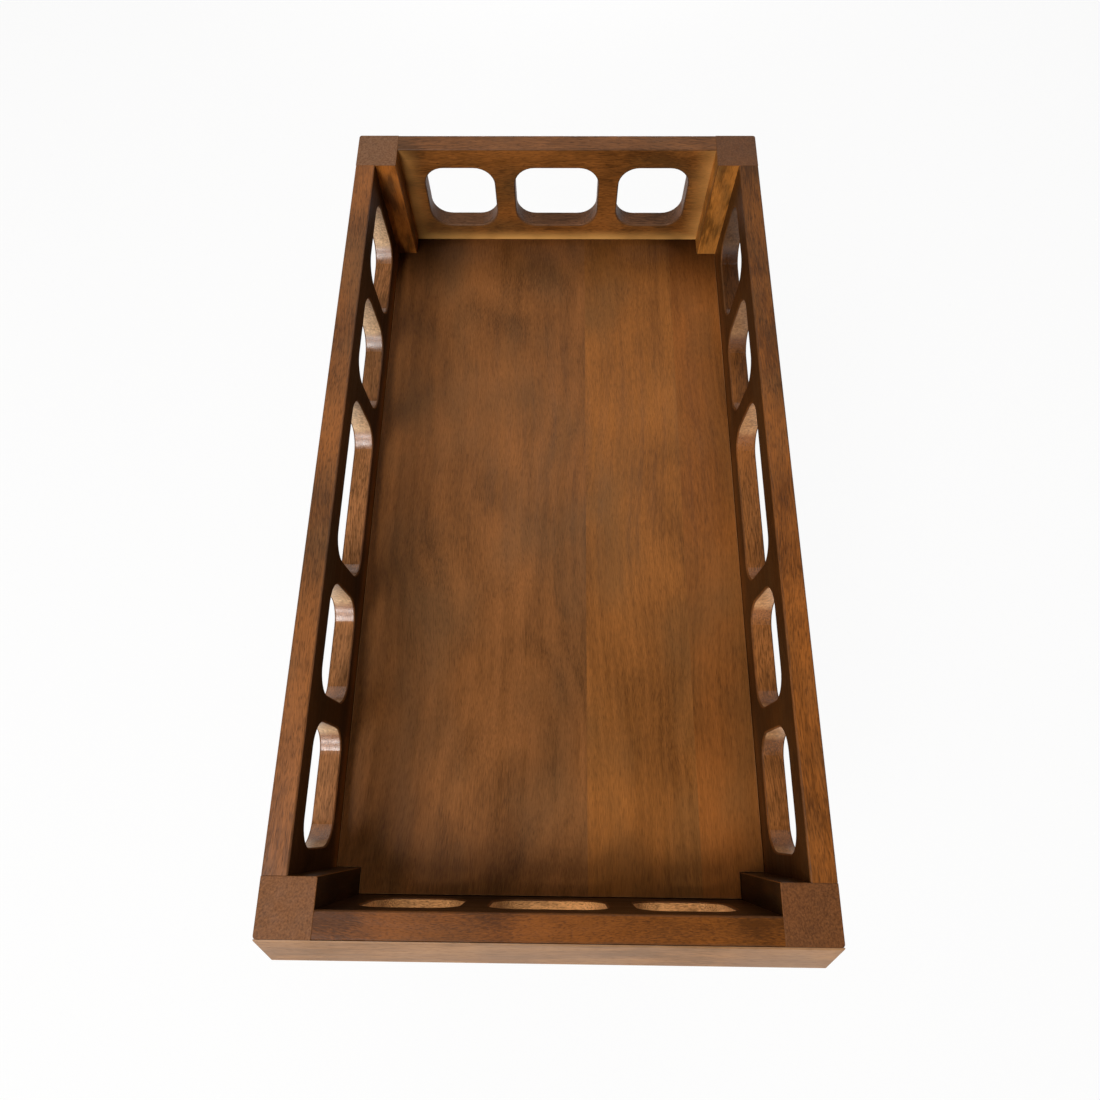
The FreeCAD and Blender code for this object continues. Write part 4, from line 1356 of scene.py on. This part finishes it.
@dataclass(frozen=True)
class Studio:
    """The white cove, the lamps and the camera that stands over the push end."""

    floor_radius: float = 5.0
    cove_radius: float = 2.0
    wall_height: float = 9.0
    cove_steps: int = 12
    round_steps: int = 96
    floor_colour: str = "#e9e7e4"
    floor_shadow: float = 0.07
    ambient: float = 0.045
    camera_place: Point = (6.4 * MM, -283.5 * MM, 1324.4 * MM)
    camera_turn: Point = (20.307, 0.552, 0.673)
    lens: float = 24.49
    sensor: float = 36.0
    lamps: tuple[StudioLamp, ...] = (
        StudioLamp("left_softbox", 45, 58, 3.0, 1.3, 1.3, 0.75),
        StudioLamp("rear_softbox", 185, 61, 2.3, 1.0, 0.8, 0.26),
        StudioLamp("front_softbox", 17, 27, 3.0, 1.0, 0.8, 0.44),
        StudioLamp("low_fill_left", 90, -2, 2.3, 1.4, 0.3, 0.10, LOW_AIM),
        StudioLamp("low_fill_right", 270, -2, 2.3, 1.4, 0.3, 0.15, LOW_AIM),
        StudioLamp("low_fill_rear", 180, -2, 2.4, 1.0, 0.3, 0.25, LOW_AIM),
    )

    def build(self) -> None:
        """Sets up the cove, the lamps, the ambient light and the camera."""
        bpy.context.scene.view_settings.view_transform = "Standard"
        self._cove()
        self._world()
        self._camera()
        for lamp in self.lamps:
            lamp.build()
        LOG.info("set up the studio with %d lamps", len(self.lamps))

    def _cove(self) -> None:
        """Makes the floor and the wall that curves up from it, as one turned sheet."""
        bend = arc((self.floor_radius, self.cove_radius), self.cove_radius, -90, 0, self.cove_steps)
        profile = [(0.0, 0.0), *bend, (self.floor_radius + self.cove_radius, self.wall_height)]
        shape = bmesh.new()
        add_turning(shape, profile, Matrix.Identity(4), self.round_steps)
        mesh = bpy.data.meshes.new("studio_cove")
        shape.to_mesh(mesh)
        shape.free()
        mesh.materials.append(self._paper())
        cove = bpy.data.objects.new("studio_cove", mesh)
        bpy.context.scene.collection.objects.link(cove)

    def _paper(self) -> Material:
        """Makes matt white paper that shows as white and keeps a faint shadow.

        Returns:
            The cove's material.
        """
        material = bpy.data.materials.new("matt_white_paper")
        add = start_nodes(material)
        path = add("LightPath").outputs
        seen = path["Is Camera Ray"]
        for kind in ("Is Glossy Ray", "Is Transmission Ray"):
            seen = add("Math", (seen, path[kind]), operation="MAXIMUM")
        share = add("Math", (seen, 1 - self.floor_shadow), operation="MULTIPLY")
        paper = add("BsdfDiffuse", {"Color": linear(self.floor_colour)})
        white = add("Emission", {"Color": WHITE, "Strength": 1.0})
        mixed = add("MixShader", (share, paper, white))
        add("OutputMaterial", (mixed,))
        return material

    def _world(self) -> None:
        """Gives the room its even, dim ambient light."""
        world = bpy.data.worlds.new("dim_ceiling")
        add = start_nodes(world)
        sky = add("Background", {"Color": WHITE, "Strength": self.ambient})
        add("OutputWorld", (sky,))
        bpy.context.scene.world = world

    def _camera(self) -> None:
        """Places the camera where the photograph was taken from."""
        camera = bpy.data.cameras.new("camera_over_push_end")
        camera.lens = self.lens
        camera.sensor_width = self.sensor
        camera.sensor_fit = "HORIZONTAL"
        camera.clip_start = 10 * MM
        holder = bpy.data.objects.new("camera_over_push_end", camera)
        holder.location = self.camera_place
        holder.rotation_euler = Euler([math.radians(a) for a in self.camera_turn], "XYZ")
        bpy.context.scene.collection.objects.link(holder)
        bpy.context.scene.camera = holder


def main() -> None:
    """Builds the trolley's pieces and the studio, in order."""
    logging.basicConfig(level=logging.INFO, format="%(message)s")
    Studio().build()
    # Boards are numbered by where along the log they were cut.
    Tray("upper", first_number=5).build()
    Tray("lower", first_number=21).build()
    # Each leg's stain; its colour inside the trays, painted shade on the near legs and a painted glow on the
    # far ones; and the dark and pale of its end grain, which differ by corner partly as painted sheen and
    # shade.
    stains = (("#784518", "#2e1806", "#4a2a12", "#855632"), ("#744219", "#2e1806", "#361d0c", "#704524"),
              ("#744219", "#a0652a", "#3f281a", "#66462f"), ("#784518", "#915420", "#583b28", "#866349"))
    for number, (corner, leg_stains) in enumerate(zip(Corner, stains), start=41):
        Leg(corner, number, *leg_stains).build()
    GripRail(number=51).build()
    for corner in Corner:
        Castor(corner).build()
    for level in ("upper", "lower"):
        PanHeadScrews(f"{level}_floor_screws").build()
        PanHeadScrews(f"{level}_cleat_screws").build()
        dress_node(f"{level}_rail_dowels", BEECH)
    dress_node("grip_rail_dowels", BEECH)


if __name__ == "__main__":
    main()
